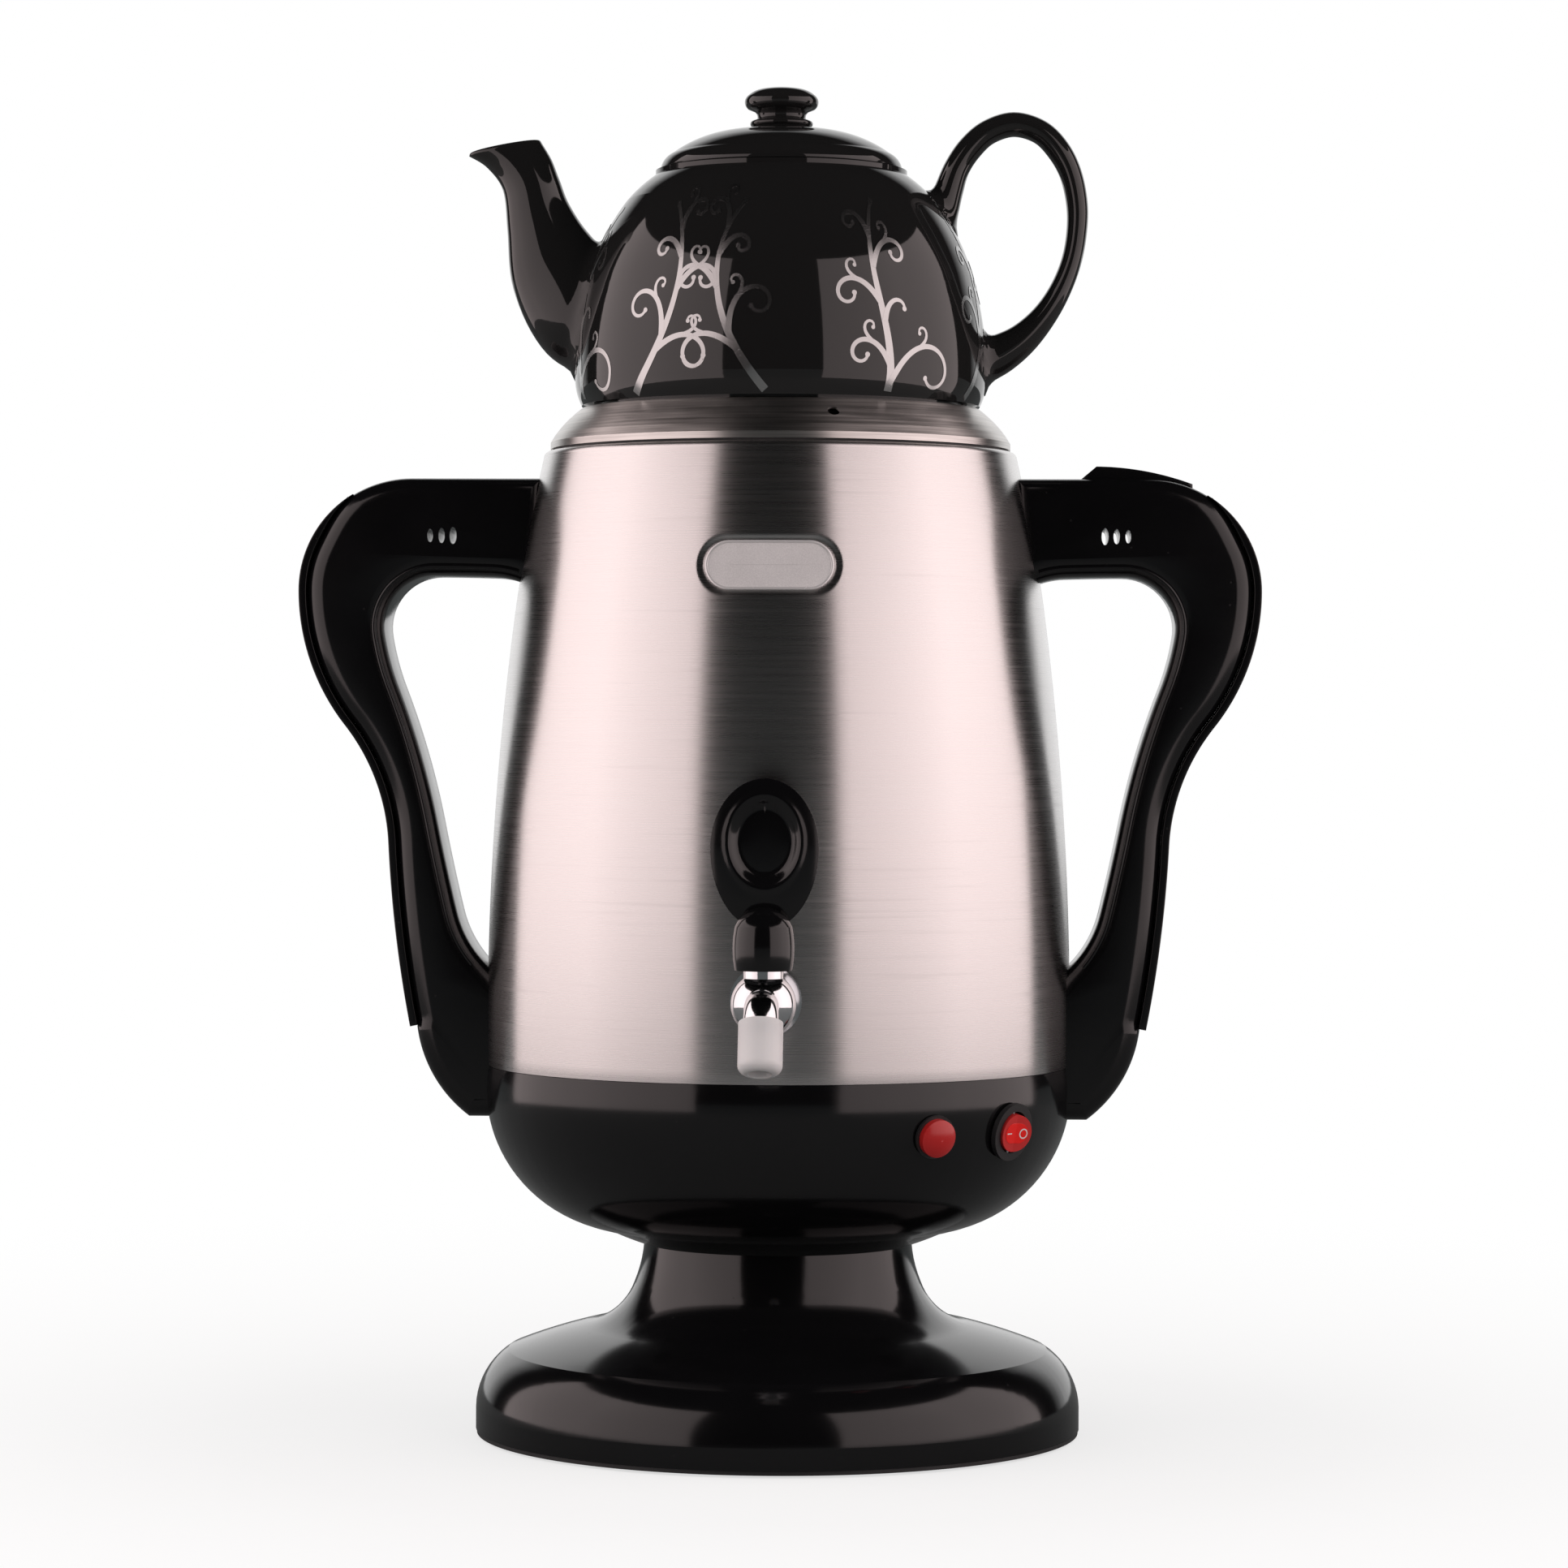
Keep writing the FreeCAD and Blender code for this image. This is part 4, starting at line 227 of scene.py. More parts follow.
def circle(count: int) -> list[Point]:
    """Returns (cosine, sine) pairs at even steps round a circle."""
    return [(math.cos(math.tau * k / count), math.sin(math.tau * k / count)) for k in range(count)]


def ease(value: float) -> float:
    """A smooth step from 0 to 1."""
    value = min(max(value, 0.0), 1.0)
    return value * value * (3 - 2 * value)


# Materials


class Bench:
    """Adds nodes to a tree and wires them."""

    def __init__(self, tree: bpy.types.NodeTree) -> None:
        """Works on the given tree."""
        self.tree = tree

    @classmethod
    def fresh(cls, owner: bpy.types.Material | bpy.types.World) -> "Bench":
        """Empties a material's or world's nodes.

        Args:
            owner: The material or world.

        Returns:
            A bench on its tree.
        """
        owner.use_nodes = True
        owner.node_tree.nodes.clear()
        return cls(owner.node_tree)

    def add(
        self, kind: str, sockets: dict[Any, Any] | None = None, **settings: Any
    ) -> bpy.types.Node:
        """Adds a node.

        Args:
            kind: The node's type.
            sockets: Inputs by name or index; a socket is wired and a value is set.
            **settings: The node's own properties.

        Returns:
            The node.
        """
        node = self.tree.nodes.new(kind)
        for key, value in settings.items():
            setattr(node, key, value)
        for key, value in (sockets or {}).items():
            if isinstance(value, bpy.types.NodeSocket):
                self.tree.links.new(value, node.inputs[key])
            else:
                node.inputs[key].default_value = value
        return node

    def maths(self, operation: str, first: Any, second: Any = 0.0) -> bpy.types.NodeSocket:
        """Adds a Math node on two values and returns its result."""
        return self.add("ShaderNodeMath", {0: first, 1: second}, operation=operation).outputs[0]

    def times(self, first: Any, second: Any) -> bpy.types.NodeSocket:
        """Multiplies two values and returns the product."""
        return self.maths("MULTIPLY", first, second)

    def plus(self, base: Any, extra: Any, share: float) -> bpy.types.NodeSocket:
        """Adds a share of one value to another and returns the sum."""
        return self.maths("ADD", base, self.times(extra, share))

    def wire(self, value: bpy.types.NodeSocket, node: bpy.types.Node, socket: str) -> None:
        """Wires a value to a node's named input."""
        self.tree.links.new(value, node.inputs[socket])

    def spread(self, value: Any, low: float, high: float) -> bpy.types.NodeSocket:
        """Stretches a 0 to 1 value to a range and returns it."""
        sockets = {"Value": value, "To Min": low, "To Max": high}
        return self.add("ShaderNodeMapRange", sockets).outputs[0]

    def window(self, value: Any, low: float, high: float) -> bpy.types.NodeSocket:
        """Turns a value to 0 at low and 1 at high and returns it."""
        sockets = {"Value": value, "From Min": low, "From Max": high}
        return self.add("ShaderNodeMapRange", sockets).outputs[0]

    def blend(self, factor: Any, first: Any, second: Any) -> bpy.types.NodeSocket:
        """Mixes two colours and returns the result."""
        node = self.add("ShaderNodeMix", {0: factor, 6: first, 7: second}, data_type="RGBA")
        return node.outputs[2]

    def spot(self) -> bpy.types.NodeSocket:
        """Returns the object's own coordinates."""
        return self.add("ShaderNodeTexCoord").outputs["Object"]

    def stretch(self, where: Any, scale: Any) -> bpy.types.NodeSocket:
        """Multiplies coordinates by a scale per axis and returns them."""
        sockets = {0: where, 1: scale}
        return self.add("ShaderNodeVectorMath", sockets, operation="MULTIPLY").outputs[0]

    def noise(self, where: Any, scale: Any, detail: float = 2.0) -> bpy.types.NodeSocket:
        """Returns a noise value."""
        sockets = {"Vector": where, "Scale": scale, "Detail": detail}
        return self.add("ShaderNodeTexNoise", sockets).outputs[0]


def rgba(color: Color) -> tuple[float, float, float, float]:
    """Adds full opacity to a colour."""
    return (*color, 1.0)


class Effect(Enum):
    """Shared surface effects, each one a node group."""

    LIFE = "surface_life"
    GRAIN = "brushed_grain"


def effect_group(
    effect: Effect, inputs: dict[str, float], outputs: Sequence[str]
) -> tuple[Bench, bpy.types.Node, bpy.types.Node]:
    """Starts a node group.

    Args:
        effect: Which effect it holds.
        inputs: Names and defaults of its number inputs.
        outputs: Names of its number outputs.

    Returns:
        A bench on the group, its input node and its output node.
    """
    group = bpy.data.node_groups.new(effect.value, "ShaderNodeTree")
    kind = "NodeSocketFloat"
    for name, value in inputs.items():
        group.interface.new_socket(name, in_out="INPUT", socket_type=kind).default_value = value
    for name in outputs:
        group.interface.new_socket(name, in_out="OUTPUT", socket_type=kind)
    bench = Bench(group)
    return bench, bench.add("NodeGroupInput"), bench.add("NodeGroupOutput")


def life_group() -> bpy.types.NodeTree:
    """Builds mottling, moulding ripple, dust specks and hairline scratches.

    Returns:
        The group.
    """
    bench, given, result = effect_group(
        Effect.LIFE, {"Scale": 1.0, "Speck Size": 0.1}, ("Mottle", "Ripple", "Dust", "Hairline")
    )
    where = bench.spot()
    size = given.outputs["Scale"]
    mottle = bench.noise(where, bench.times(size, 38.0), 4.0)
    ripple = bench.noise(where, bench.times(size, 620.0), 2.0)
    cells = bench.add("ShaderNodeTexVoronoi", {"Vector": where, "Scale": bench.times(size, 210.0)})
    pick = bench.add("ShaderNodeSeparateColor", {0: cells.outputs["Color"]}).outputs[0]
    near = bench.maths("LESS_THAN", cells.outputs["Distance"], given.outputs["Speck Size"])
    dust = bench.times(near, bench.maths("GREATER_THAN", pick, 0.86))
    drift = bench.add("ShaderNodeTexNoise", {"Vector": where, "Scale": 9.0}).outputs["Color"]
    bent = bench.add("ShaderNodeVectorMath", {0: where, 1: drift}, operation="ADD").outputs[0]
    sockets = {"Vector": bent, "Scale": (30.0, 30.0, 700.0)}
    stretched = bench.add("ShaderNodeMapping", sockets).outputs[0]
    hairline = bench.window(bench.noise(stretched, size, 1.0), 0.70, 0.76)
    outputs = {"Mottle": mottle, "Ripple": ripple, "Dust": dust, "Hairline": hairline}
    for name, value in outputs.items():
        bench.wire(value, result, name)
    return bench.tree


def grain_group() -> bpy.types.NodeTree:
    """Builds the lines that a brush leaves round the axis.

    Returns:
        The group.
    """
    inputs = {"Length": 14.0, "Fineness": 2600.0}
    bench, given, result = effect_group(Effect.GRAIN, inputs, ("Streak", "Scratch"))
    where = bench.spot()
    length, fineness = given.outputs["Length"], given.outputs["Fineness"]
    scale = bench.add("ShaderNodeCombineXYZ", {0: length, 1: length, 2: fineness}).outputs[0]
    fine = bench.stretch(where, scale)
    coarse = bench.stretch(fine, (1.7, 1.7, 0.22))
    fine_lines = bench.noise(fine, 1.0, 3.0)
    coarse_lines = bench.noise(coarse, 1.0, 3.0)
    streak = bench.plus(bench.times(fine_lines, 0.7), coarse_lines, 0.3)
    bench.wire(bench.window(streak, 0.3, 0.7), result, "Streak")
    bench.wire(bench.window(coarse_lines, 0.62, 0.72), result, "Scratch")
    return bench.tree


@dataclass(frozen=True)
class Finish:
    """A surface finish; each kind draws its own nodes."""

    name: str
    slot: str
    color: Color
    roughness: float = 0.3

    def material(self) -> bpy.types.Material:
        """Makes the finish's material the first time it is asked for.

        Returns:
            The material.
        """
        found = bpy.data.materials.get(self.name)
        if found:
            return found
        made = bpy.data.materials.new(self.name)
        bench = Bench.fresh(made)
        sockets = {"Base Color": rgba(self.color), "Roughness": self.roughness}
        shader = bench.add("ShaderNodeBsdfPrincipled", sockets)
        self.draw(bench, shader)
        bench.add("ShaderNodeOutputMaterial", {"Surface": shader.outputs[0]})
        made.diffuse_color = rgba(self.color)
        return made

    def draw(self, bench: Bench, shader: bpy.types.Node) -> None:
        """Wires the finish's own nodes into its shader."""

    def effect(
        self, bench: Bench, effect: Effect, **values: float
    ) -> dict[str, bpy.types.NodeSocket]:
        """Places a shared effect.

        Args:
            bench: The material's bench.
            effect: Which effect.
            **values: Its inputs, with _ for a space.

        Returns:
            Its outputs by name.
        """
        node = bench.add("ShaderNodeGroup", node_tree=bpy.data.node_groups[effect.value])
        for name, value in values.items():
            node.inputs[name.replace("_", " ")].default_value = value
        return {socket.name: socket for socket in node.outputs}

    def bump(self, bench: Bench, shader: bpy.types.Node, height: Any, depth: float) -> None:
        """Feeds a height, in metres deep, to the shader's normal."""
        sockets = {"Height": height, "Strength": 1.0, "Distance": depth}
        bench.wire(bench.add("ShaderNodeBump", sockets).outputs[0], shader, "Normal")


@dataclass(frozen=True)
class Moulding(Finish):
    """Moulded plastic, rubber or glaze: smooth, with a faint ripple, dust and hairlines."""

    ripple: float = 1.5e-6
    dust: float = 0.25
    shade: float = 0.35
    coat: float = 0.0
    size: float = 1.0

    def draw(self, bench: Bench, shader: bpy.types.Node) -> None:
        """Wires mottled colour, uneven gloss and ripple.

        Args:
            bench: The material's bench.
            shader: Its Principled shader.
        """
        life = self.effect(bench, Effect.LIFE, Scale=self.size)
        lighter = tuple(min(c * (1 + self.shade) + 0.002 * self.shade, 1.0) for c in self.color)
        dusty = tuple(min(c + 0.05 * self.dust, 1.0) for c in lighter)
        tone = bench.blend(life["Mottle"], rgba(self.color), rgba(lighter))
        tone = bench.blend(bench.times(life["Dust"], self.dust), tone, rgba(dusty))
        bench.wire(tone, shader, "Base Color")
        gloss = bench.spread(life["Mottle"], self.roughness * 0.8, self.roughness * 1.25)
        gloss = bench.plus(gloss, life["Dust"], self.dust * 0.5)
        gloss = bench.plus(gloss, life["Hairline"], self.dust * 0.12)
        bench.wire(gloss, shader, "Roughness")
        shader.inputs["Coat Weight"].default_value = self.coat
        shader.inputs["Coat Roughness"].default_value = 0.03
        self.bump(bench, shader, life["Ripple"], self.ripple)


@dataclass(frozen=True)
class ClearMoulding(Moulding):
    """A see-through coloured moulding; its glow is painted light where the part is no lamp."""

    clear: float = 0.6
    glow: float = 0.0

    def draw(self, bench: Bench, shader: bpy.types.Node) -> None:
        """Wires the moulding, lets light through it and adds an emission glow, which paints light.

        Args:
            bench: The material's bench.
            shader: Its Principled shader.
        """
        super().draw(bench, shader)
        shader.inputs["Transmission Weight"].default_value = self.clear
        shader.inputs["IOR"].default_value = 1.49
        shader.inputs["Emission Color"].default_value = rgba(self.color)
        # Painted light: the glow makes the part shine though it is no lamp.
        shader.inputs["Emission Strength"].default_value = self.glow


@dataclass(frozen=True)
class FacetedLens(Moulding):
    """A clear red cap over a ribbed reflector; the ribs' glints are painted into its colour as bright
    bars, a painted highlight.
    """

    # bright: colour of the painted highlight bars, the ribs' glints.
    bright: Color = (0.62, 0.05, 0.05)
    azimuth: float = 33.0
    middle_z: float = 0.125
    bars: float = 3400.0
    rungs: float = 1700.0
    half_height: Point = (0.0055, 0.0025)
    half_width: Point = (0.0052, 0.002)

    def draw(self, bench: Bench, shader: bpy.types.Node) -> None:
        """Wires the moulding, with painted highlight bars that run up the lens, under a clear coat.

        Args:
            bench: The material's bench.
            shader: Its Principled shader.
        """
        super().draw(bench, shader)
        sockets = {"Vector": bench.spot(), "Rotation": (0.0, 0.0, -math.radians(self.azimuth))}
        turned = bench.add("ShaderNodeMapping", sockets)
        split = bench.add("ShaderNodeSeparateXYZ", {0: turned.outputs[0]}).outputs
        bars = bench.maths("SINE", bench.times(split["X"], self.bars))
        rungs = bench.maths("SINE", bench.times(split["Z"], self.rungs))
        height = bench.maths("ABSOLUTE", bench.maths("SUBTRACT", split["Z"], self.middle_z))
        middle = bench.window(height, *self.half_height)
        across = bench.window(bench.maths("ABSOLUTE", split["X"]), *self.half_width)
        glint = bench.times(bench.window(bars, 0.2, 0.9), bench.window(rungs, -0.7, 0.6))
        glint = bench.times(glint, bench.times(middle, across))
        # Painted highlight: the glint bars lighten the base colour.
        bench.wire(bench.blend(glint, rgba(self.color), rgba(self.bright)), shader, "Base Color")


@dataclass(frozen=True)
class Silicone(Moulding):
    """Milky silicone with light scattering inside it."""

    depth: float = 0.004

    def draw(self, bench: Bench, shader: bpy.types.Node) -> None:
        """Wires the moulding and scatters light under its skin.

        Args:
            bench: The material's bench.
            shader: Its Principled shader.
        """
        super().draw(bench, shader)
        shader.inputs["Subsurface Weight"].default_value = 0.7
        shader.inputs["Subsurface Scale"].default_value = self.depth
        shader.inputs["Subsurface Radius"].default_value = (1.0, 0.95, 0.9)


@dataclass(frozen=True)
class BrushedMetal(Finish):
    """Sheet brushed round the axis."""

    length: float = 14.0
    fineness: float = 2600.0
    contrast: float = 0.12
    depth: float = 2.0e-6
    stretch: float = 0.8

    def draw(self, bench: Bench, shader: bpy.types.Node) -> None:
        """Wires streaked colour and gloss, the brushing's relief and its stretched highlights.

        Args:
            bench: The material's bench.
            shader: Its Principled shader.
        """
        grain = self.effect(bench, Effect.GRAIN, Length=self.length, Fineness=self.fineness)
        life = self.effect(bench, Effect.LIFE, Scale=0.35)
        dark = tuple(c * (1 - self.contrast) for c in self.color)
        light = tuple(min(c * (1 + self.contrast), 1.0) for c in self.color)
        tone = bench.blend(grain["Streak"], rgba(dark), rgba(light))
        tone = bench.blend(bench.spread(life["Mottle"], 0.0, 0.08), tone, rgba(dark))
        bench.wire(tone, shader, "Base Color")
        gloss = bench.spread(grain["Streak"], self.roughness * 0.88, self.roughness * 1.12)
        bench.wire(bench.plus(gloss, grain["Scratch"], 0.03), shader, "Roughness")
        shader.inputs["Metallic"].default_value = 1.0
        shader.inputs["Anisotropic"].default_value = self.stretch
        shader.inputs["Anisotropic Rotation"].default_value = 0.25
        round_axis = bench.add("ShaderNodeTangent", direction_type="RADIAL", axis="Z").outputs[0]
        bench.wire(round_axis, shader, "Tangent")
        self.bump(bench, shader, grain["Streak"], self.depth)


@dataclass(frozen=True)
class Plate(Finish):
    """Polished or plain metal with faint smears."""

    smear: float = 0.05
    grit: float = 0.0
    grit_scale: float = 1900.0
    metal: float = 1.0

    def draw(self, bench: Bench, shader: bpy.types.Node) -> None:
        """Wires smeared gloss and, where it has one, a cast grit.

        Args:
            bench: The material's bench.
            shader: Its Principled shader.
        """
        life = self.effect(bench, Effect.LIFE, Scale=2.0)
        grit = bench.noise(bench.spot(), self.grit_scale, 3.0)
        sparkle = bench.times(bench.window(grit, 0.35, 0.68), self.grit)
        light = bench.maths("ADD", sparkle, bench.spread(life["Mottle"], 0.0, 1.0 - self.grit))
        dark = tuple(c * (0.9 - 0.45 * self.grit) for c in self.color)
        bench.wire(bench.blend(light, rgba(dark), rgba(self.color)), shader, "Base Color")
        gloss = bench.spread(life["Mottle"], self.roughness, self.roughness + self.smear)
        bench.wire(bench.plus(gloss, life["Hairline"], 0.08), shader, "Roughness")
        shader.inputs["Metallic"].default_value = self.metal
        height = bench.plus(bench.times(grit, self.grit), life["Ripple"], 0.05)
        self.bump(bench, shader, height, 1.2e-4)


BLACK = Moulding("gloss_black_moulding", "black_plastic", (0.003, 0.003, 0.0034), 0.12)
GRIP_BLACK = Moulding("grip_moulding", "black_plastic", (0.003, 0.003, 0.0034), 0.16, ripple=2.5e-6)
SATIN_BLACK = Moulding(
    "satin_black_moulding", "black_plastic", (0.018, 0.018, 0.019), 0.38, ripple=6e-6
)
GLAZE = Moulding(
    "black_glaze", "black_glaze", (0.0015, 0.0015, 0.0018), 0.05, ripple=1.2e-6, coat=0.5,
    dust=0.15,
)
RUBBER = Moulding("dark_rubber", "rubber_dark", (0.02, 0.02, 0.021), 0.6, ripple=2e-5, size=1.6)
SILICONE = Silicone(
    "milky_silicone", "silicone_clear", (0.80, 0.79, 0.79), 0.36, ripple=8e-6, dust=0.1, shade=0.1
)
LENS = FacetedLens("red_lens", "red_lens", (0.16, 0.005, 0.006), 0.12, dust=0.05, coat=1.0)
ROCKER = Moulding("red_rocker", "red_rocker", (0.22, 0.006, 0.006), 0.16, dust=0.1, coat=0.6)
# The rocker's face: a brighter copy of the rocker's red with a faint glow, painted light on the
# rocker's top.
PAINTED_LIGHT_ROCKER_FACE = ClearMoulding(
    "red_rocker_face", "red_rocker", (0.72, 0.012, 0.01), 0.22, clear=0.1, glow=0.12
)
MARKS = Moulding("white_print", "red_rocker", (0.82, 0.80, 0.80), 0.45, ripple=4e-6, shade=0.05)
INSULATION = Moulding(
    "wire_insulation", "wire_insulation", (0.72, 0.72, 0.70), 0.45, ripple=1e-5, shade=0.08
)
SHELL_STEEL = BrushedMetal(
    "shell_steel", "brushed_steel", (0.70, 0.68, 0.675), 0.28, length=9.0, fineness=3400.0,
    contrast=0.05, depth=0.7e-6,
)
LID_STEEL = BrushedMetal(
    "lid_steel", "brushed_steel", (0.62, 0.595, 0.575), 0.34, length=22.0, fineness=1500.0,
    contrast=0.3, depth=1e-5,
)
TANK_STEEL = BrushedMetal("tank_steel", "brushed_steel", (0.66, 0.66, 0.66), 0.28, contrast=0.08)
PLAIN_STEEL = Plate("plain_steel", "grey_steel", (0.50, 0.50, 0.51), 0.32, smear=0.12)
SHEATH = Plate("element_sheath", "element_sheath", (0.26, 0.255, 0.25), 0.45, smear=0.15, grit=0.4)
ALUMINIUM = BrushedMetal(
    "turned_aluminium", "aluminium_plate", (0.72, 0.73, 0.74), 0.36, length=60.0, fineness=900.0
)
CHROME = Plate("polished_chrome", "polished_chrome", (0.80, 0.80, 0.81), 0.06, smear=0.05)
BRASS = Plate("bare_brass", "brass_contacts", (0.72, 0.54, 0.26), 0.28, smear=0.15)
BADGE_RIM = Plate("badge_rim", "brushed_steel", (0.86, 0.85, 0.85), 0.2, smear=0.05, metal=0.4)
BADGE_FIELD = Plate(
    "badge_field", "brushed_steel", (0.84, 0.82, 0.82), 0.5, grit=0.4, grit_scale=2100.0,
    metal=0.0,
)
SILVER_VINE = Plate(
    "silver_vine", "black_glaze", (0.50, 0.50, 0.50), 0.20, smear=0.06, grit=0.03,
    grit_scale=900.0,
)


# Meshes


def make_piece(
    name: str,
    verts: Sequence[Vertex],
    faces: Sequence[Face],
    finish: Finish,
    body: str,
    stands_for: Sequence[str] = (),
    sharp: float = 35.0,
    seat: Matrix | None = None,
) -> bpy.types.Object:
    """Makes a piece of the samovar from vertices in millimetres.

    Args:
        name: The piece's name.
        verts: Vertices in millimetres.
        faces: Faces by vertex number.
        finish: Its finish.
        body: The body that it rides on.
        stands_for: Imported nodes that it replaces.
        sharp: Edges bent by more than this, in degrees, stay crisp.
        seat: Where the piece's own frame stands, in metres.

    Returns:
        The piece.
    """
    mesh = bpy.data.meshes.new(name)
    seat = seat or Matrix.Identity(4)
    mesh.from_pydata([tuple(seat @ (Vector(v) * MM)) for v in verts], [], faces)
    return finish_piece(name, mesh, finish, body, stands_for, sharp)


def put_in_scene(name: str, data: bpy.types.ID) -> bpy.types.Object:
    """Makes an object and links it to the scene.

    Args:
        name: The object's name.
        data: Its mesh, curve or camera.

    Returns:
        The object.
    """
    made = bpy.data.objects.new(name, data)
    bpy.context.scene.collection.objects.link(made)
    return made


def worked_out(shape: bpy.types.Object) -> bpy.types.Mesh:
    """Works out an object's bevels and modifiers.

    Args:
        shape: The object, which stays as it is.

    Returns:
        A new mesh.
    """
    bpy.context.view_layer.update()
    graph = bpy.context.evaluated_depsgraph_get()
    return bpy.data.meshes.new_from_object(shape.evaluated_get(graph))


def clean(mesh: bpy.types.Mesh) -> None:
    """Merges the vertices of a mesh that coincide and turns its faces outwards.

    Args:
        mesh: The mesh, which is changed.
    """
    work = bmesh.new()
    work.from_mesh(mesh)
    bmesh.ops.remove_doubles(work, verts=work.verts, dist=1e-7)
    bmesh.ops.recalc_face_normals(work, faces=work.faces)
    work.to_mesh(mesh)
    work.free()


def finish_piece(
    name: str,
    mesh: bpy.types.Mesh,
    finish: Finish,
    body: str,
    stands_for: Sequence[str] = (),
    sharp: float = 35.0,
) -> bpy.types.Object:
    """Cleans a mesh, dresses it and sets it on its body.

    Args:
        name: The piece's name.
        mesh: Its mesh, in metres in the part's frame.
        finish: Its finish.
        body: The body that it rides on.
        stands_for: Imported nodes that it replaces.
        sharp: Edges bent by more than this, in degrees, stay crisp.

    Returns:
        The piece.
    """
    clean(mesh)
    mesh.shade_smooth()
    mesh.set_sharp_from_angle(angle=math.radians(sharp))
    mesh.materials.clear()
    mesh.materials.append(finish.material())
    piece = put_in_scene(name, mesh)
    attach(piece, body)
    if stands_for:
        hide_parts(*stands_for)
    log.info("%s: %d faces", name, len(mesh.polygons))
    return piece


def ring_faces(rows: int, columns: int, first: int = 0, closed: bool = True) -> list[Face]:
    """Joins rows of points with four-sided faces.

    Args:
        rows: How many rows.
        columns: Points in each row.
        first: Number of the first point.
        closed: Whether each row ends where it starts.

    Returns:
        The faces.
    """
    faces = []
    for row in range(rows - 1):
        for column in range(columns if closed else columns - 1):
            here = first + row * columns
            above = here + columns
            after = (column + 1) % columns
            faces.append((here + column, here + after, above + after, above + column))
    return faces


def end_caps(count: int, total: int, first: int = 0) -> list[Face]:
    """Closes the first and the last row of a swept shape.

    Args:
        count: Points in each row.
        total: Points in all rows.
        first: Number of the first point.

    Returns:
        The two faces.
    """
    end = first + total
    return [tuple(range(first, first + count)), tuple(range(end - 1, end - count - 1, -1))]


def lathe(profile: Sequence[Point], angles: Sequence[float]) -> Shape:
    """Turns a closed profile round the axis.

    Args:
        profile: Radius and height round the closed section.
        angles: Angles in degrees to the right of the front.

    Returns:
        Vertices and faces.
    """
    turns = [(math.sin(math.radians(a)), -math.cos(math.radians(a))) for a in angles]
    section = list(profile) + [profile[0]]
    verts = [(r * s, r * c, z) for r, z in section for s, c in turns]
    return verts, ring_faces(len(section), len(turns))


def slab(
    outline: Sequence[Point], half_depth: float, rounding: float, steps: int = 5
) -> bpy.types.Mesh:
    """Thickens a closed outline in the XZ plane, with rounded edges.

    Args:
        outline: Corners as (x, z) in millimetres.
        half_depth: Half the thickness along Y.
        rounding: Radius of the rounded edges.
        steps: Facets in each rounded edge.

    Returns:
        The mesh, in metres.
    """
    curve = bpy.data.curves.new("slab", "CURVE")
    curve.dimensions = "2D"
    curve.fill_mode = "BOTH"
    curve.extrude = (half_depth - rounding) * MM
    curve.bevel_depth = rounding * MM
    curve.bevel_resolution = steps
    curve.offset = -rounding * MM
    spline = curve.splines.new("POLY")
    spline.points.add(len(outline) - 1)
    for point, (x, z) in zip(spline.points, outline):
        point.co = (x * MM, z * MM, 0.0, 1.0)
    spline.use_cyclic_u = True
    stand_in = put_in_scene("slab", curve)
    mesh = worked_out(stand_in)
    bpy.data.objects.remove(stand_in)
    bpy.data.curves.remove(curve)
    mesh.transform(Matrix.Rotation(math.radians(90), 4, "X"))
    return mesh


def tube(path: Sequence[Vertex], radius: float, around: int = 12) -> Shape:
    """Sweeps a round section along a path and caps both ends.

    Args:
        path: Points in millimetres.
        radius: The tube's radius.
        around: Points round it.

    Returns:
        Vertices and faces.
    """
    verts: list[Vertex] = []
    points = [Vector(p) for p in path]
    for k, point in enumerate(points):
        way = (points[min(k + 1, len(points) - 1)] - points[max(k - 1, 0)]).normalized()
        side = way.cross(Vector((0, 1, 0))).normalized()
        lift = side.cross(way)
        for cos, sin in circle(around):
            verts.append(tuple(point + (side * cos + lift * sin) * radius))
    return verts, ring_faces(len(points), around) + end_caps(around, len(verts))


def mirrored(verts: Sequence[Vertex]) -> list[Vertex]:
    """Swaps left and right."""
    return [(-x, y, z) for x, y, z in verts]


def dress(finish: Finish, *nodes: str) -> None:
    """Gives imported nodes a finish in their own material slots.

    Args:
        finish: The finish.
        *nodes: Names of the nodes.
    """
    for name in nodes:
        mesh = frame["nodes"][name].data
        mesh.materials.clear()
        mesh.materials.append(finish.material())
        log.info("%s: %s", name, finish.name)


# Sub-assemblies


class Assembly:
    """A part of the samovar that is built and dressed on its own."""

    def build(self) -> None:
        """Makes the assembly's own pieces."""

    def dress(self) -> None:
        """Finishes the assembly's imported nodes."""


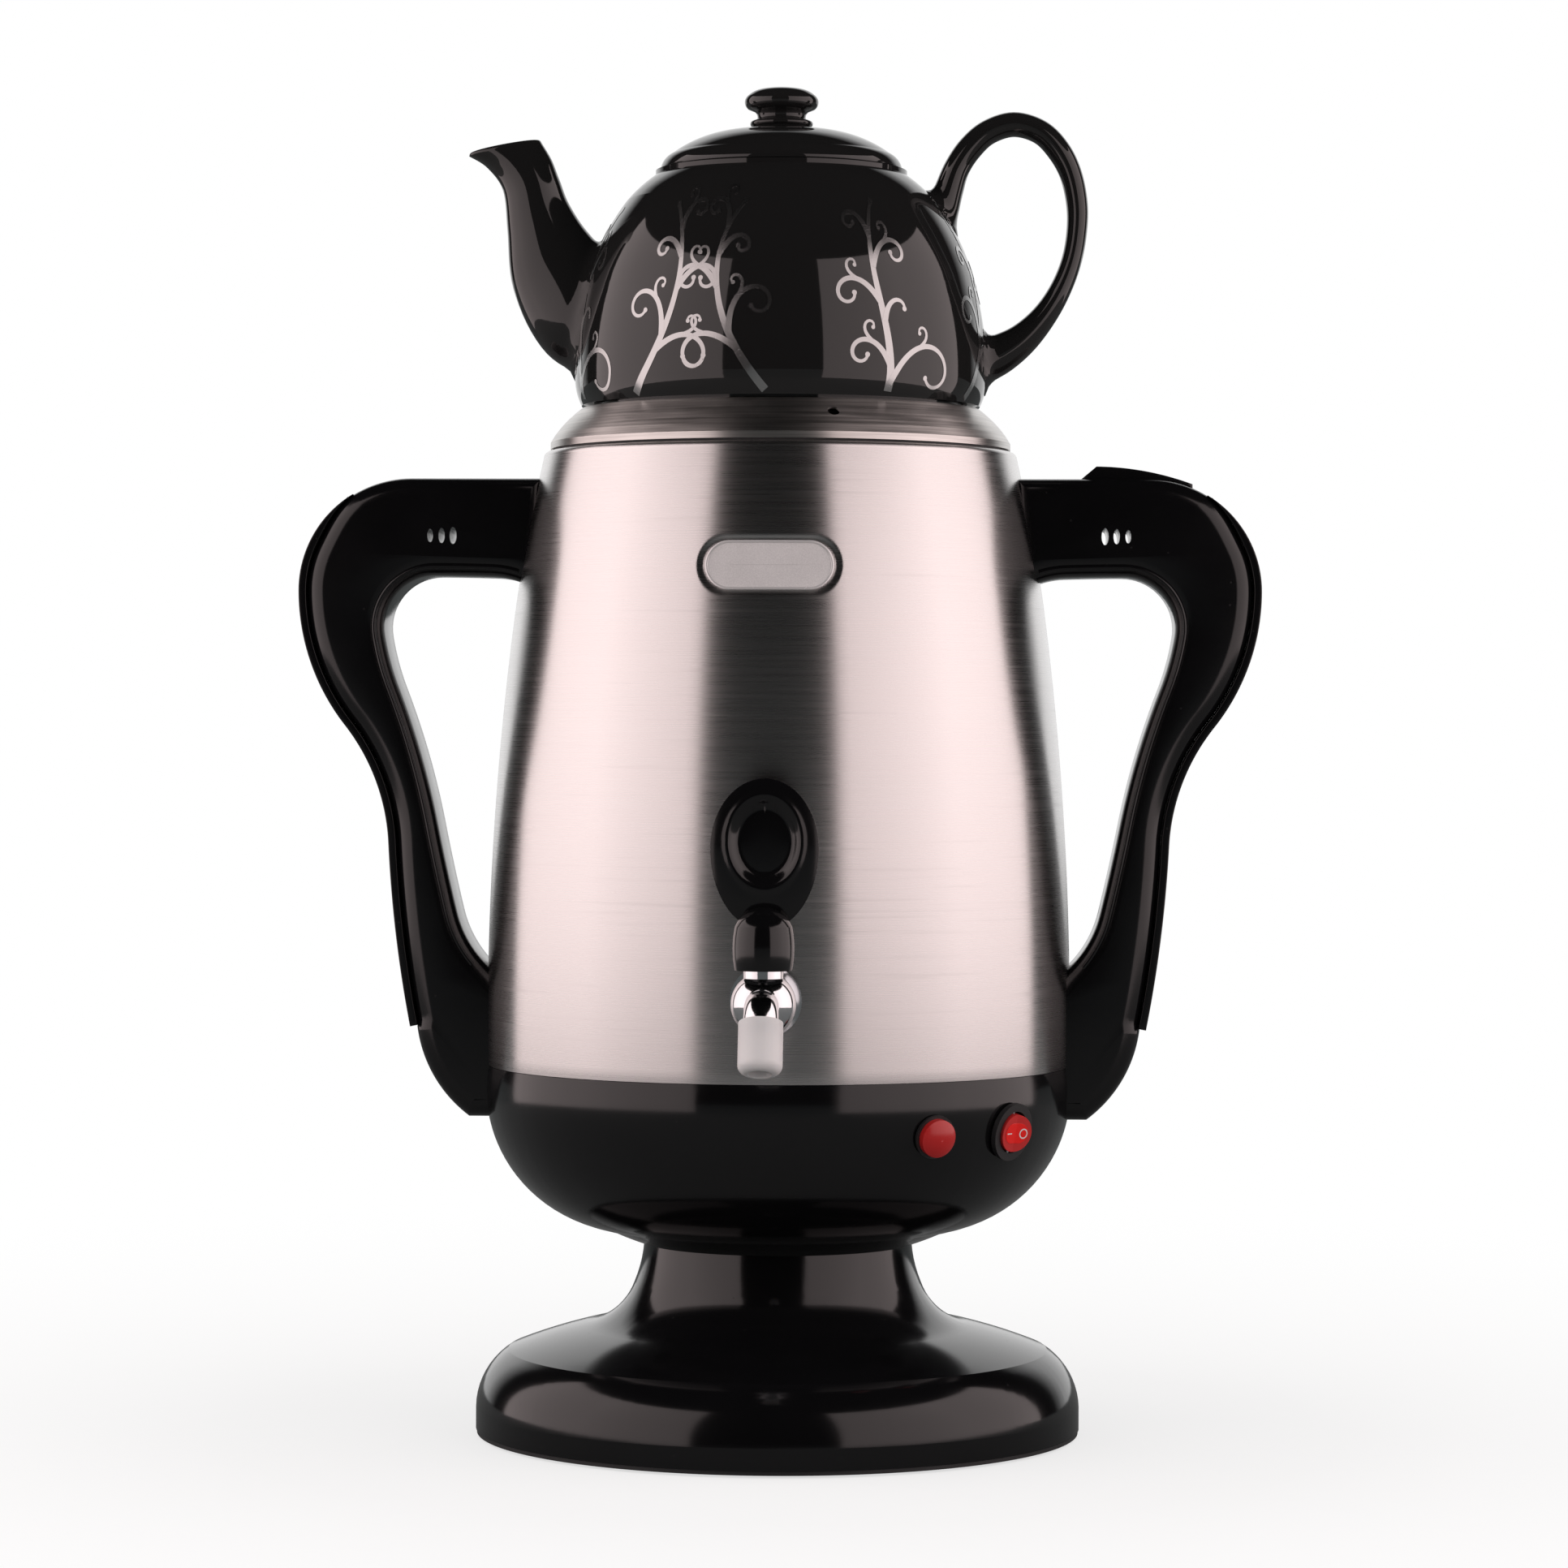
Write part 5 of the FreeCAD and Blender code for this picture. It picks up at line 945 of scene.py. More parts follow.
@dataclass
class Stand(Assembly):
    """Feet, base plate, pedestal and bowl."""

    screw_circle: float = 104.0
    screws: int = 4
    cross_half: float = 2.2
    cross_width: float = 0.5
    cross_z: Point = (0.94, 1.3)

    def build(self) -> None:
        """Makes a dark cross in each base screw's head: a dark sheet of painted shade where the cross
        recess lies.
        """
        for k, (cos, sin) in enumerate(circle(self.screws)):
            cross = self.cross(self.screw_circle * cos, self.screw_circle * sin)
            # Painted shade: a satin black sheet stands in for the shade in the screw's cross recess.
            make_piece(f"base_screw_cross_{k}", *cross, SATIN_BLACK, "samovar")

    def cross(self, x: float, y: float) -> Shape:
        """Makes a thin cross under a screw's head, a dark sheet of painted shade for its recess.

        Args:
            x: The screw's place to the right.
            y: The screw's place to the back.

        Returns:
            Vertices and faces.
        """
        long, thin = self.cross_half, self.cross_width
        quarter = [(long, thin), (thin, thin), (thin, long)]
        corners = quarter + [(-a, b) for a, b in quarter[::-1]]
        corners += [(-a, -b) for a, b in corners]
        verts = [(x + a, y + b, z) for z in self.cross_z for a, b in corners]
        return verts, ring_faces(2, len(corners)) + end_caps(len(corners), len(verts))

    def dress(self) -> None:
        """Finishes the stand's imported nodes."""
        dress(BLACK, "pedestal_shell", "bowl_housing")
        dress(SATIN_BLACK, "base_plate", "power_inlet", "thermostat", "thermal_cutout")
        dress(RUBBER, "rubber_feet")
        dress(PLAIN_STEEL, "base_screws", "handle_screws", "tie_rod", "tie_nut")
        dress(BRASS, "inlet_blades")
        dress(INSULATION, "wiring")


@dataclass
class SteelShell(Assembly):
    """The brushed shell with the badge's pressed recess, and the tank inside."""

    bottom: Point = (114.4, 145.0)
    middle: Point = (103.6, 327.0)
    top: Point = (92.6, 385.6)
    lower_round: float = 1250.0
    upper_round: float = 700.0
    shoulder: float = 2.2
    hem: float = 0.7
    wall: float = 1.0
    mouth_r: float = 84.0
    recess_width: float = 55.0
    recess_height: float = 23.0
    recess_z: float = 338.4
    recess_depth: float = 0.55
    recess_edge: float = 1.8
    fine_step: float = 0.7
    fine_columns: int = 90
    coarse_columns: int = 220
    inner_heights: tuple[float, ...] = (370.0, 327.0, 280.0, 230.0, 185.0)

    def side(self) -> list[Point]:
        """Returns the outer line from bottom to top."""
        line = Outline(self.bottom, 2.5).arc(self.middle, self.lower_round)
        return line.arc(self.top, self.upper_round).points

    def surface(self, across: float, z: float, rise: float = 0.0) -> Vertex:
        """Wraps a flat place on the front onto the shell.

        Args:
            across: Distance to the right of the middle.
            z: Height.
            rise: How far it stands out.

        Returns:
            The place.
        """
        radius = radius_at(self.side(), z)
        angle = across / radius
        return ((radius + rise) * math.sin(angle), -(radius + rise) * math.cos(angle), z)

    def sink(self, across: float, z: float) -> float:
        """Finds how deep the recess is at a place on the front.

        Args:
            across: Distance to the right of the middle.
            z: Height.

        Returns:
            The depth, 0 outside the recess.
        """
        half = self.recess_height / 2
        flat = self.recess_width / 2 - half
        inside = half - math.hypot(max(abs(across) - flat, 0.0), z - self.recess_z)
        return self.recess_depth * ease(inside / self.recess_edge)

    def build(self) -> None:
        """Makes the shell: fine mesh near the badge, coarser elsewhere."""
        side = self.side()
        margin = self.recess_height / 2 + 1
        heights = {z for _, z in side if abs(z - self.recess_z) > margin}
        count = round(2 * margin / self.fine_step)
        heights |= {self.recess_z - margin + self.fine_step * k for k in range(count + 1)}
        (foot_r, foot_z), (top_r, top_z) = self.bottom, self.top
        bend_z = top_z - self.shoulder
        rows: list[Point] = [(foot_r - self.wall, foot_z), (foot_r - self.hem, foot_z)]
        rows += [(foot_r - 0.2, foot_z + 0.2)]
        rows += [(radius_at(side, z), z) for z in sorted(heights) if foot_z + self.hem < z < bend_z]
        bend = Outline((radius_at(side, bend_z), bend_z), 0.5)
        rows += bend.arc((top_r - self.shoulder, top_z), self.shoulder * 1.05).points
        rows += [(self.mouth_r, top_z), (self.mouth_r, top_z - self.wall)]
        rows += [(top_r - self.wall - self.shoulder, top_z - self.wall)]
        rows += [(radius_at(side, z) - self.wall, z) for z in self.inner_heights]
        spread = math.degrees((self.recess_width / 2 + 2) / self.middle[0])
        fine = [spread * (2 * k / self.fine_columns - 1) for k in range(self.fine_columns)]
        rest = (360 - 2 * spread) / self.coarse_columns
        coarse = [spread + rest * k for k in range(self.coarse_columns)]
        verts, faces = lathe(rows, fine + coarse)
        pressed = []
        for x, y, z in verts:
            radius = math.hypot(x, y)
            across = math.atan2(x, -y) * radius
            near = abs(z - self.recess_z) < self.recess_height
            outer = near and radius > radius_at(side, z) - 0.1
            shrink = 1 - (self.sink(across, z) if outer else 0.0) / radius
            pressed.append((x * shrink, y * shrink, z))
        make_piece("steel_shell", pressed, faces, SHELL_STEEL, "samovar", ["outer_shell"], 40.0)

    def dress(self) -> None:
        """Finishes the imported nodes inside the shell."""
        dress(TANK_STEEL, "inner_tank", "heat_shield")
        dress(RUBBER, "tank_gasket", "tap_sleeve", "tap_inner_washer")
        dress(ALUMINIUM, "heating_plate")
        dress(SHEATH, "heating_element")


@dataclass
class Badge(Assembly):
    """A bare plate with a bright rim and a grained field."""

    shell: SteelShell
    width: float = 48.6
    height: float = 18.6
    rim: float = 1.0
    rise: float = 0.5
    field_drop: float = 0.35
    field_rings: int = 9
    end_points: int = 32
    run_points: int = 16

    def loop(self, inset: float, rise: float) -> list[Vertex]:
        """Follows the plate's edge on the shell: round ends and straight runs.

        Args:
            inset: How far the line is moved in from the edge.
            rise: How far it stands out of the shell.

        Returns:
            The closed line.
        """
        half = self.height / 2 - inset
        flat = (self.width - self.height) / 2
        turns = [math.pi * (k / (self.end_points - 1) - 0.5) for k in range(self.end_points)]
        bend = [(flat + half * math.cos(turn), half * math.sin(turn)) for turn in turns]
        gaps = self.run_points + 1
        bend += [(flat * (1 - 2 * k / gaps), half) for k in range(1, gaps)]
        points = bend + [(-x, -z) for x, z in bend]
        return [self.shell.surface(x, self.shell.recess_z + z, rise) for x, z in points]

    def plate(self, insets: Sequence[Point]) -> Shape:
        """Joins lines at (inset, rise) pairs and closes the last one.

        Args:
            insets: Distance from the edge and height of each line.

        Returns:
            Vertices and faces.
        """
        verts = [v for inset, rise in insets for v in self.loop(inset, rise)]
        return verts, ring_faces(len(insets), 2 * (self.end_points + self.run_points))

    def build(self) -> None:
        """Makes the rim and the field."""
        low = -self.shell.recess_depth + 0.02
        field_rise = self.rise - self.field_drop
        rim = [(0.0, low), (0.0, self.rise - 0.2), (0.12, self.rise - 0.05), (0.3, self.rise)]
        rim += [(self.rim - 0.2, self.rise), (self.rim, self.rise - 0.1)]
        rim += [(self.rim + 0.1, field_rise - 0.1)]
        make_piece("badge_rim", *self.plate(rim), BADGE_RIM, "samovar", ["badge_plate"], 60.0)
        step = (self.height / 2 - 0.02 - self.rim) / self.field_rings
        flat = [(self.rim + step * k, field_rise) for k in range(self.field_rings + 1)]
        make_piece("badge_field", *self.plate(flat), BADGE_FIELD, "samovar")


@dataclass
class Lid(Assembly):
    """The steel lid that carries the teapot."""

    def dress(self) -> None:
        """Finishes the lid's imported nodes."""
        dress(LID_STEEL, "lid_cover")
        dress(TANK_STEEL, "lid_skirt")
        dress(RUBBER, "lid_seal")


class Side(Enum):
    """Which side of the body a piece is on."""

    LEFT = -1
    RIGHT = 1


@dataclass
class Grip(Assembly):
    """A handle: rounded core, edge cover, moulded bead and vent slots."""

    side: Side
    half_depth: float = 20.0
    rounding: float = 7.0
    cover: float = 3.0
    seam: float = 0.35
    cover_half_depth: float = 17.6
    top_z: float = 375.0
    reach: float = 188.4
    corner: float = 44.0
    cover_start: Point = (167.2, 368.6)
    outer: tuple[Point, ...] = ((170.0, 278.0), (152.7, 231.9), (143.9, 160.0))
    foot: Point = (141.5, 160.0)
    foot_end: Point = (120.9, 124.8)
    foot_round: float = 51.6
    foot_inside: Point = (106.0, 124.8)
    root_x: float = 92.5
    gap_start: Point = (101.0, 171.0)
    gap: tuple[Point, ...] = (
        (125.8, 205.0), (133.4, 239.5), (148.8, 292.6), (154.5, 313.5),
        (134.7, 336.8), (112.0, 336.4), (93.0, 329.5),
    )
    gap_foot: Point = (114.0, 184.0)
    bead_inset: float = 3.6
    bead_r: float = 0.9
    slot_x: tuple[float, ...] = (127.3, 131.8, 136.3)
    slot_z: float = 352.3
    slot_half: Point = (1.35, 3.3)
    slot_shrink: Point = (0.12, 0.35)
    slot_around: int = 24

    def cover_line(self) -> list[Point]:
        """Returns the outer edge of the cover, from its top end down."""
        line = Outline(self.cover_start).arc((self.reach, self.top_z - self.corner), -self.corner)
        return line.flow(-90, self.outer).points

    def inner_line(self, line: Sequence[Point], gap: float) -> list[Point]:
        """Moves the cover's line in by its thickness, which tapers to its upper end.

        Args:
            line: The outer edge of the cover.
            gap: Extra distance from the cover.

        Returns:
            The moved line.
        """
        away = offset(line, -1.0)
        moved = []
        for k, ((x, z), (ax, az)) in enumerate(zip(line, away)):
            reach = self.cover * ease((k + 2) / 15) + gap * ease(k / 10)
            moved.append((x + (ax - x) * reach, z + (az - z) * reach))
        return moved

    def gap_line(self) -> list[Point]:
        """Returns the hand gap's edge from its foot up to the body."""
        return Outline(self.gap_foot).flow(45, self.gap).points

    def name(self, piece: str) -> str:
        """Returns a piece's name with its side."""
        return f"handle_{self.side.name.lower()}_{piece}"

    def finish(
        self, piece: str, mesh: bpy.types.Mesh, stands_for: Sequence[str] = ()
    ) -> bpy.types.Object:
        """Mirrors a right-hand mesh where needed and finishes it.

        Args:
            piece: The piece's name without its side.
            mesh: Its mesh for the right side.
            stands_for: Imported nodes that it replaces.

        Returns:
            The piece.
        """
        if self.side is Side.LEFT:
            mesh.transform(Matrix.Scale(-1, 4, (1, 0, 0)))
        return finish_piece(self.name(piece), mesh, GRIP_BLACK, "samovar", stands_for, 40.0)

    def build(self) -> None:
        """Makes the core, its slots, the cover and the beads."""
        cover_line = self.cover_line()
        core = [(self.root_x, self.top_z)]
        corner = Outline((self.reach - self.corner, self.top_z))
        core += corner.arc(self.cover_start, -self.corner).points
        core += self.inner_line(cover_line, self.seam)[1:-1]
        core += [(self.foot[0] - self.seam, self.foot[1] + 1.0)]
        core += Outline(self.foot).arc(self.foot_end, -self.foot_round).points
        core += [self.foot_inside, self.gap_start] + self.gap_line()
        node = f"handle_{self.side.name.lower()}"
        self.cut_slots(self.finish("core", slab(core, self.half_depth, self.rounding), [node]))
        strip = cover_line + self.inner_line(cover_line, 0.0)[:0:-1]
        self.finish("edge_cover", slab(strip, self.cover_half_depth, 0.4, 3), [node + "_cover"])
        bead = offset(self.gap_line(), -self.bead_inset)[2:-6]
        for k, y in enumerate((-1, 1)):
            line = [(x, y * (self.half_depth - 0.35), z) for x, z in bead]
            verts, faces = tube(line, self.bead_r)
            verts = mirrored(verts) if self.side is Side.LEFT else verts
            make_piece(self.name(f"bead_{k}"), verts, faces, GRIP_BLACK, "samovar")

    def cut_slots(self, piece: bpy.types.Object) -> None:
        """Cuts the vent slots through a core.

        Args:
            piece: The core, which gets a new mesh.
        """
        verts: list[Vertex] = []
        faces: list[Face] = []
        count = self.slot_around
        for k, x in enumerate(self.slot_x):
            half_x = self.slot_half[0] - self.slot_shrink[0] * k
            half_z = self.slot_half[1] - self.slot_shrink[1] * k
            faces += ring_faces(2, count, len(verts)) + end_caps(count, 2 * count, len(verts))
            for y in (-self.half_depth - 2, self.half_depth + 2):
                verts += [
                    ((x + half_x * cos) * self.side.value, y, self.slot_z + half_z * sin)
                    for cos, sin in circle(count)
                ]
        mesh = bpy.data.meshes.new("slot_cutter")
        mesh.from_pydata([tuple(Vector(v) * MM) for v in verts], [], faces)
        clean(mesh)
        cutter = put_in_scene("slot_cutter", mesh)
        boolean = piece.modifiers.new("slots", "BOOLEAN")
        boolean.object = cutter
        boolean.operation = "DIFFERENCE"
        boolean.solver = "EXACT"
        cut = worked_out(piece)
        piece.modifiers.clear()
        piece.data = cut
        cut.set_sharp_from_angle(angle=math.radians(40.0))
        bpy.data.objects.remove(cutter)


@dataclass
class ThumbButton(Assembly):
    """The button on top of the right handle."""

    low_z: float = 367.6
    start: Point = (117.3, 374.4)
    peak: Point = (124.1, 380.1)
    end: Point = (161.6, 373.2)
    crown: float = 110.0
    half_width: float = 12.0
    rounding: float = 0.9

    def build(self) -> None:
        """Makes the button with rounded edges."""
        line = Outline((self.start[0], self.low_z)).line(self.start, self.peak)
        line.arc(self.end, -self.crown).line((self.end[0], self.low_z))
        mesh = slab(line.points[::-1], self.half_width, self.rounding, 3)
        finish_piece("thumb_button_cap", mesh, GRIP_BLACK, "button", ["thumb_button"], 40.0)

    def dress(self) -> None:
        """Finishes the pin and spring."""
        dress(PLAIN_STEEL, "button_pin", "button_spring")


@dataclass
class Teapot(Assembly):
    """The glazed teapot: body as packed, a turned lid, and spout and handle flowing out of it."""

    side_start: Point = (78.4, 403.8)
    side_arcs: tuple[tuple[float, float, float], ...] = (
        (81.0, 413.0, 23.8), (77.0, 450.0, 136.6), (61.0, 484.5, 89.0), (49.6, 494.8, 54.8),
    )
    lid_start: Point = (43.6, 496.7)
    lid_steps: tuple[tuple[float, float, float], ...] = (
        (46.9, 496.75, 0.0), (47.6, 497.6, 0.9), (43.4, 503.2, 7.4), (20.0, 512.4, 48.0),
        (11.6, 514.3, -30.0), (11.9, 514.5, 0.0), (11.6, 516.6, 1.2), (10.1, 516.9, 0.0),
        (9.6, 518.6, -1.6), (11.0, 520.4, -2.4), (13.0, 521.2, 0.0), (13.3, 526.6, 3.3),
        (8.0, 529.1, 9.0), (0.02, 530.0, 40.0),
    )
    lid_inside: tuple[Point, ...] = (
        (0.02, 509.2), (20.0, 509.2), (40.0, 500.8), (41.6, 496.7),
        (41.6, 487.2), (43.2, 487.2), (43.2, 496.7),
    )
    lid_around: int = 160
    stations: tuple[tuple[float, float, float, float, float], ...] = (
        (-60.0, 434.5, 70.0, 25.0, 20.0),
        (-66.0, 437.0, 68.0, 24.0, 19.0),
        (-81.5, 445.5, 62.0, 23.4, 18.0),
        (-91.2, 461.7, 38.4, 18.6, 15.0),
        (-96.0, 478.5, 24.0, 13.4, 12.4),
        (-98.9, 491.5, 12.0, 11.4, 10.8),
        (-103.6, 500.0, 8.0, 12.8, 9.9),
        (-109.2, 505.6, 10.7, 14.6, 9.4),
    )
    wall: float = 2.6
    flare: float = 4.5
    ear: tuple[tuple[float, float, float, float], ...] = (
        (60.0, 472.0, 7.4, 8.5), (63.2, 480.5, 6.6, 8.2), (66.0, 489.5, 5.8, 7.8),
        (69.2, 498.2, 5.2, 7.4), (74.4, 506.0, 5.1, 7.2), (81.5, 512.2, 4.9, 7.0),
        (91.5, 515.2, 4.9, 7.0), (101.8, 512.2, 4.8, 7.0), (109.0, 505.0, 4.8, 7.0),
        (113.9, 495.5, 4.5, 7.0), (116.4, 483.5, 4.3, 7.0), (116.2, 472.0, 4.1, 7.0),
        (114.0, 460.5, 4.1, 7.0), (109.5, 449.3, 4.4, 7.0), (103.2, 439.3, 5.1, 7.2),
        (95.2, 430.8, 6.4, 7.6), (86.5, 425.0, 7.9, 8.2), (77.5, 421.0, 8.8, 9.0),
        (70.0, 418.0, 9.2, 9.4),
    )
    around: int = 64

    def side(self) -> list[Point]:
        """Returns the pot's outer line."""
        return Outline(self.side_start, 0.8).run(self.side_arcs).points

    def flared(self, centre: Vector, point: Vector) -> Vector:
        """Spreads a point outwards where it comes near the pot, as poured slip does.

        Args:
            centre: Middle of the point's section.
            point: The point.

        Returns:
            The point, moved along the pot's skin.
        """
        profile = self.side()
        radius = radius_at(profile, point.z)
        slope = (radius_at(profile, point.z + 1) - radius_at(profile, point.z - 1)) / 2
        normal = Vector((point.x, point.y, 0)).normalized() - Vector((0, 0, slope))
        normal.normalize()
        gap = (math.hypot(point.x, point.y) - radius) * math.hypot(normal.x, normal.y)
        if gap >= self.flare:
            return point
        depth = max(gap, 0.0)
        spread = self.flare - math.sqrt(max(self.flare ** 2 - (self.flare - depth) ** 2, 0.0))
        away = point - centre
        away -= normal * away.dot(normal)
        if away.length < 1e-6:
            return point
        return point + away.normalized() * spread

    def section(self, station: Sequence[float], shrink: float = 0.0) -> tuple[Vector, list[Vector]]:
        """Makes one oval across the spout.

        Args:
            station: Its x, z, lean in degrees, half width and half depth.
            shrink: How much both halves shrink.

        Returns:
            Its middle and its points.
        """
        x, z, lean, across, deep = station
        centre = Vector((x, 0, z))
        wide = Vector((math.cos(math.radians(lean)), 0, math.sin(math.radians(lean))))
        points = []
        for cos, sin in circle(self.around):
            side = Vector((0, (deep - shrink) * sin, 0))
            points.append(centre + wide * ((across - shrink) * cos) + side)
        return centre, points

    def build_lid(self) -> None:
        """Makes the pot's lid with a soft rim, a base ring and a knob."""
        line = Outline(self.lid_start, 0.6).run(self.lid_steps).line(*self.lid_inside)
        angles = [360 * k / self.lid_around for k in range(self.lid_around)]
        verts, faces = lathe(line.points, angles)
        make_piece("teapot_lid_turned", verts, faces, GLAZE, "teapot_cover", ["teapot_lid"], 50.0)

    def build_spout(self) -> None:
        """Makes the spout with a rolled lip, flowing into the pot."""
        rings: list[list[Vector]] = []
        stations = smooth(self.stations, 8)
        for station in stations:
            centre, points = self.section(station)
            rings.append([self.flared(centre, p) for p in points])
        tip = stations[-1]
        rise = Vector((-math.sin(math.radians(tip[2])), 0, math.cos(math.radians(tip[2]))))
        for k in range(1, 7):
            angle = math.pi * k / 6
            centre, points = self.section(tip, self.wall / 2 * (1 - math.cos(angle)))
            rings.append([p + rise * (self.wall / 2 * math.sin(angle)) for p in points])
        for station in stations[-2:len(stations) // 3:-2]:
            rings.append(self.section(station, self.wall)[1])
        verts = [tuple(p) for ring in rings for p in ring]
        faces = ring_faces(len(rings), self.around)
        make_piece("teapot_spout_flowing", verts, faces, GLAZE, "teapot", ["teapot_spout"], 60.0)

    def build_ear(self) -> None:
        """Makes the teapot's handle, flowing into the pot at both ends."""
        path = smooth(self.ear, 7)
        around = self.around // 2
        verts: list[Vertex] = []
        for k, (x, z, across, deep) in enumerate(path):
            before, after = path[max(k - 1, 0)], path[min(k + 1, len(path) - 1)]
            way = Vector((after[0] - before[0], 0, after[1] - before[1])).normalized()
            side = Vector((way.z, 0, -way.x))
            centre = Vector((x, 0, z))
            for cos, sin in circle(around):
                point = centre + side * (across * cos) + Vector((0, deep * sin, 0))
                verts.append(tuple(self.flared(centre, point)))
        faces = ring_faces(len(path), around)
        make_piece("teapot_handle_flowing", verts, faces, GLAZE, "teapot", ["teapot_handle"], 60.0)

    def build(self) -> None:
        """Makes the lid, the spout and the handle."""
        self.build_lid()
        self.build_spout()
        self.build_ear()

    def dress(self) -> None:
        """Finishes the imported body."""
        dress(GLAZE, "teapot_body")


@dataclass(frozen=True)
class Branch:
    """One stroke of a vine and the strokes that leave it.

    It leaves its parent at a share of the parent's length, turned by an angle in degrees, and
    bends more and more towards its end.
    """

    at: float
    turn: float
    length: float
    bend: Point
    width: Point
    children: tuple["Branch", ...] = ()


def curl(at: float, side: int, length: float, tight: float = 0.42, sprig: bool = True) -> Branch:
    """Makes a scroll that leaves its stem to one side.

    Args:
        at: Where it leaves the stem, as a share of the stem's length.
        side: 1 to the left, -1 to the right.
        length: Its length.
        tight: How tightly its end curls.
        sprig: Whether a small twig leaves it.

    Returns:
        The scroll.
    """
    twig = Branch(0.36, -side * 18.0, 11.0, (-side * 0.04, -side * 0.95), (1.3, 0.8))
    bend = (side * 0.022, side * tight * 1.15)
    return Branch(at, side * 24.0, length, bend, (2.1, 1.0), (twig,) if sprig else ())


@dataclass(frozen=True)
class Spray:
    """Where one spray stands on the pot, and which of the two kinds it is."""

    azimuth: float
    foot: float
    tall: bool
    flip: int = 1


@dataclass
class Vines(Assembly):
    """Silver scroll vines printed on the pot: a generic ornament of curling stems."""

    pot: Teapot
    rise: float = 0.12
    sunk: float = -0.05
    scale: float = 1.2
    tall: Branch = Branch(0.0, 84.0, 62.0, (0.020, -0.046), (2.9, 1.3), (
        curl(0.04, -1, 46.0, 0.21), curl(0.12, 1, 27.0, 0.40), curl(0.36, -1, 13.0, 0.45, False),
        curl(0.46, 1, 29.0, 0.38), curl(0.64, -1, 27.0, 0.42), curl(0.80, 1, 20.0, 0.55, False),
    ))
    leaning: Branch = Branch(0.0, 50.0, 66.0, (0.010, 0.036), (2.7, 1.2), (
        curl(0.24, -1, 33.0, 0.30), curl(0.33, 1, 34.0, 0.32), curl(0.56, -1, 27.0, 0.42),
        curl(0.72, 1, 20.0, 0.55, False), curl(0.86, -1, 21.0, 0.50),
    ))
    sprays: tuple[Spray, ...] = (
        Spray(-72.0, 405.4, True), Spray(-42.0, 405.2, False), Spray(33.0, 405.6, True),
        Spray(-2.0, 405.4, False, -1), Spray(66.0, 405.4, False), Spray(122.0, 405.6, True),
        Spray(156.0, 405.2, False), Spray(216.0, 405.8, True),
    )
    lift_step: float = 0.006
    wrap_r: float = 81.0
    top_z: float = 493.0
    profile: list[Point] = field(default_factory=list)
    verts: list[Vertex] = field(default_factory=list)
    faces: list[Face] = field(default_factory=list)
    strokes: int = 0

    def build(self) -> None:
        """Makes the vines as one thin print on the pot."""
        self.profile = self.pot.side()
        for spray in self.sprays:
            self.strokes = 0
            self.draw(self.tall if spray.tall else self.leaning, (0.0, 0.0), 0.0, spray)
        make_piece("scroll_vines", self.verts, self.faces, SILVER_VINE, "teapot", (), 60.0)

    def draw(self, branch: Branch, start: Point, heading: float, spray: Spray) -> None:
        """Adds a branch and its children to the print.

        Args:
            branch: The branch.
            start: Where it starts, on the flat.
            heading: Its parent's heading there, in radians.
            spray: The spray that it belongs to.
        """
        pieces = max(12, round(branch.length * 1.3))
        x, z = start
        way = heading + math.radians(branch.turn)
        (bend, end_bend), (width, end_width) = branch.bend, branch.width
        rows = []
        for k in range(pieces + 1):
            t = k / pieces
            rows.append((x, z, way, width + (end_width - width) * t))
            x += math.cos(way) * branch.length / pieces
            z += math.sin(way) * branch.length / pieces
            way += (bend + (end_bend - bend) * t ** 1.3) * branch.length / pieces
        self.print_rows(rows + self.bulb(rows[-1]), spray)
        for child in branch.children:
            x, z, way, _ = rows[round(child.at * pieces)]
            self.draw(child, (x, z), way, spray)

    def print_rows(self, rows: Sequence[tuple[float, ...]], spray: Spray) -> None:
        """Adds one stroke's ribbon, each a hair above the last.

        Args:
            rows: Places on the flat as (x, z, heading, width).
            spray: The spray that the stroke belongs to.
        """
        lift = self.rise + self.lift_step * self.strokes
        self.strokes += 1
        first = len(self.verts)
        for x, z, way, width in rows:
            for side, low in ((-1, True), (-1, False), (1, False), (1, True)):
                across = (x - math.sin(way) * side * width / 2) * spray.flip * self.scale
                height = spray.foot + (z + math.cos(way) * side * width / 2) * self.scale
                rise = self.sunk if low else lift
                self.verts.append(self.wrapped(spray.azimuth, across, height, rise))
        self.faces += ring_faces(len(rows), 4, first, closed=False)
        last = len(self.verts) - 4
        self.faces += [(first + 3, first + 2, first + 1, first), (last, last + 1, last + 2, last + 3)]

    def bulb(self, tip: tuple[float, ...]) -> list[tuple[float, ...]]:
        """Makes the rounded end of a stroke, a little fuller than its tip.

        Args:
            tip: The stroke's last row.

        Returns:
            The rows that follow it.
        """
        x, z, way, width = tip
        grown = []
        for k in range(1, 9):
            t = k / 8
            reach = width * 1.7 * t
            full = width * 1.7 * math.sqrt(max(1 - (2 * t - 1) ** 2, 0.0025))
            grown.append((x + math.cos(way) * reach, z + math.sin(way) * reach, way, full))
        return grown

    def wrapped(self, azimuth: float, across: float, z: float, rise: float) -> Vertex:
        """Wraps a flat place onto the pot's side.

        Args:
            azimuth: Degrees to the right of the front where the flat touches the pot.
            across: Distance to the right of that.
            z: Height.
            rise: How far it stands out.

        Returns:
            The place.
        """
        height = min(z, self.top_z)
        radius = radius_at(self.profile, height)
        slope = (radius_at(self.profile, height + 1) - radius_at(self.profile, height - 1)) / 2
        tilt = math.atan(-slope)
        angle = math.radians(azimuth) + across / self.wrap_r
        out = radius + rise * math.cos(tilt)
        return (out * math.sin(angle), -out * math.cos(angle), height + rise * math.sin(tilt))


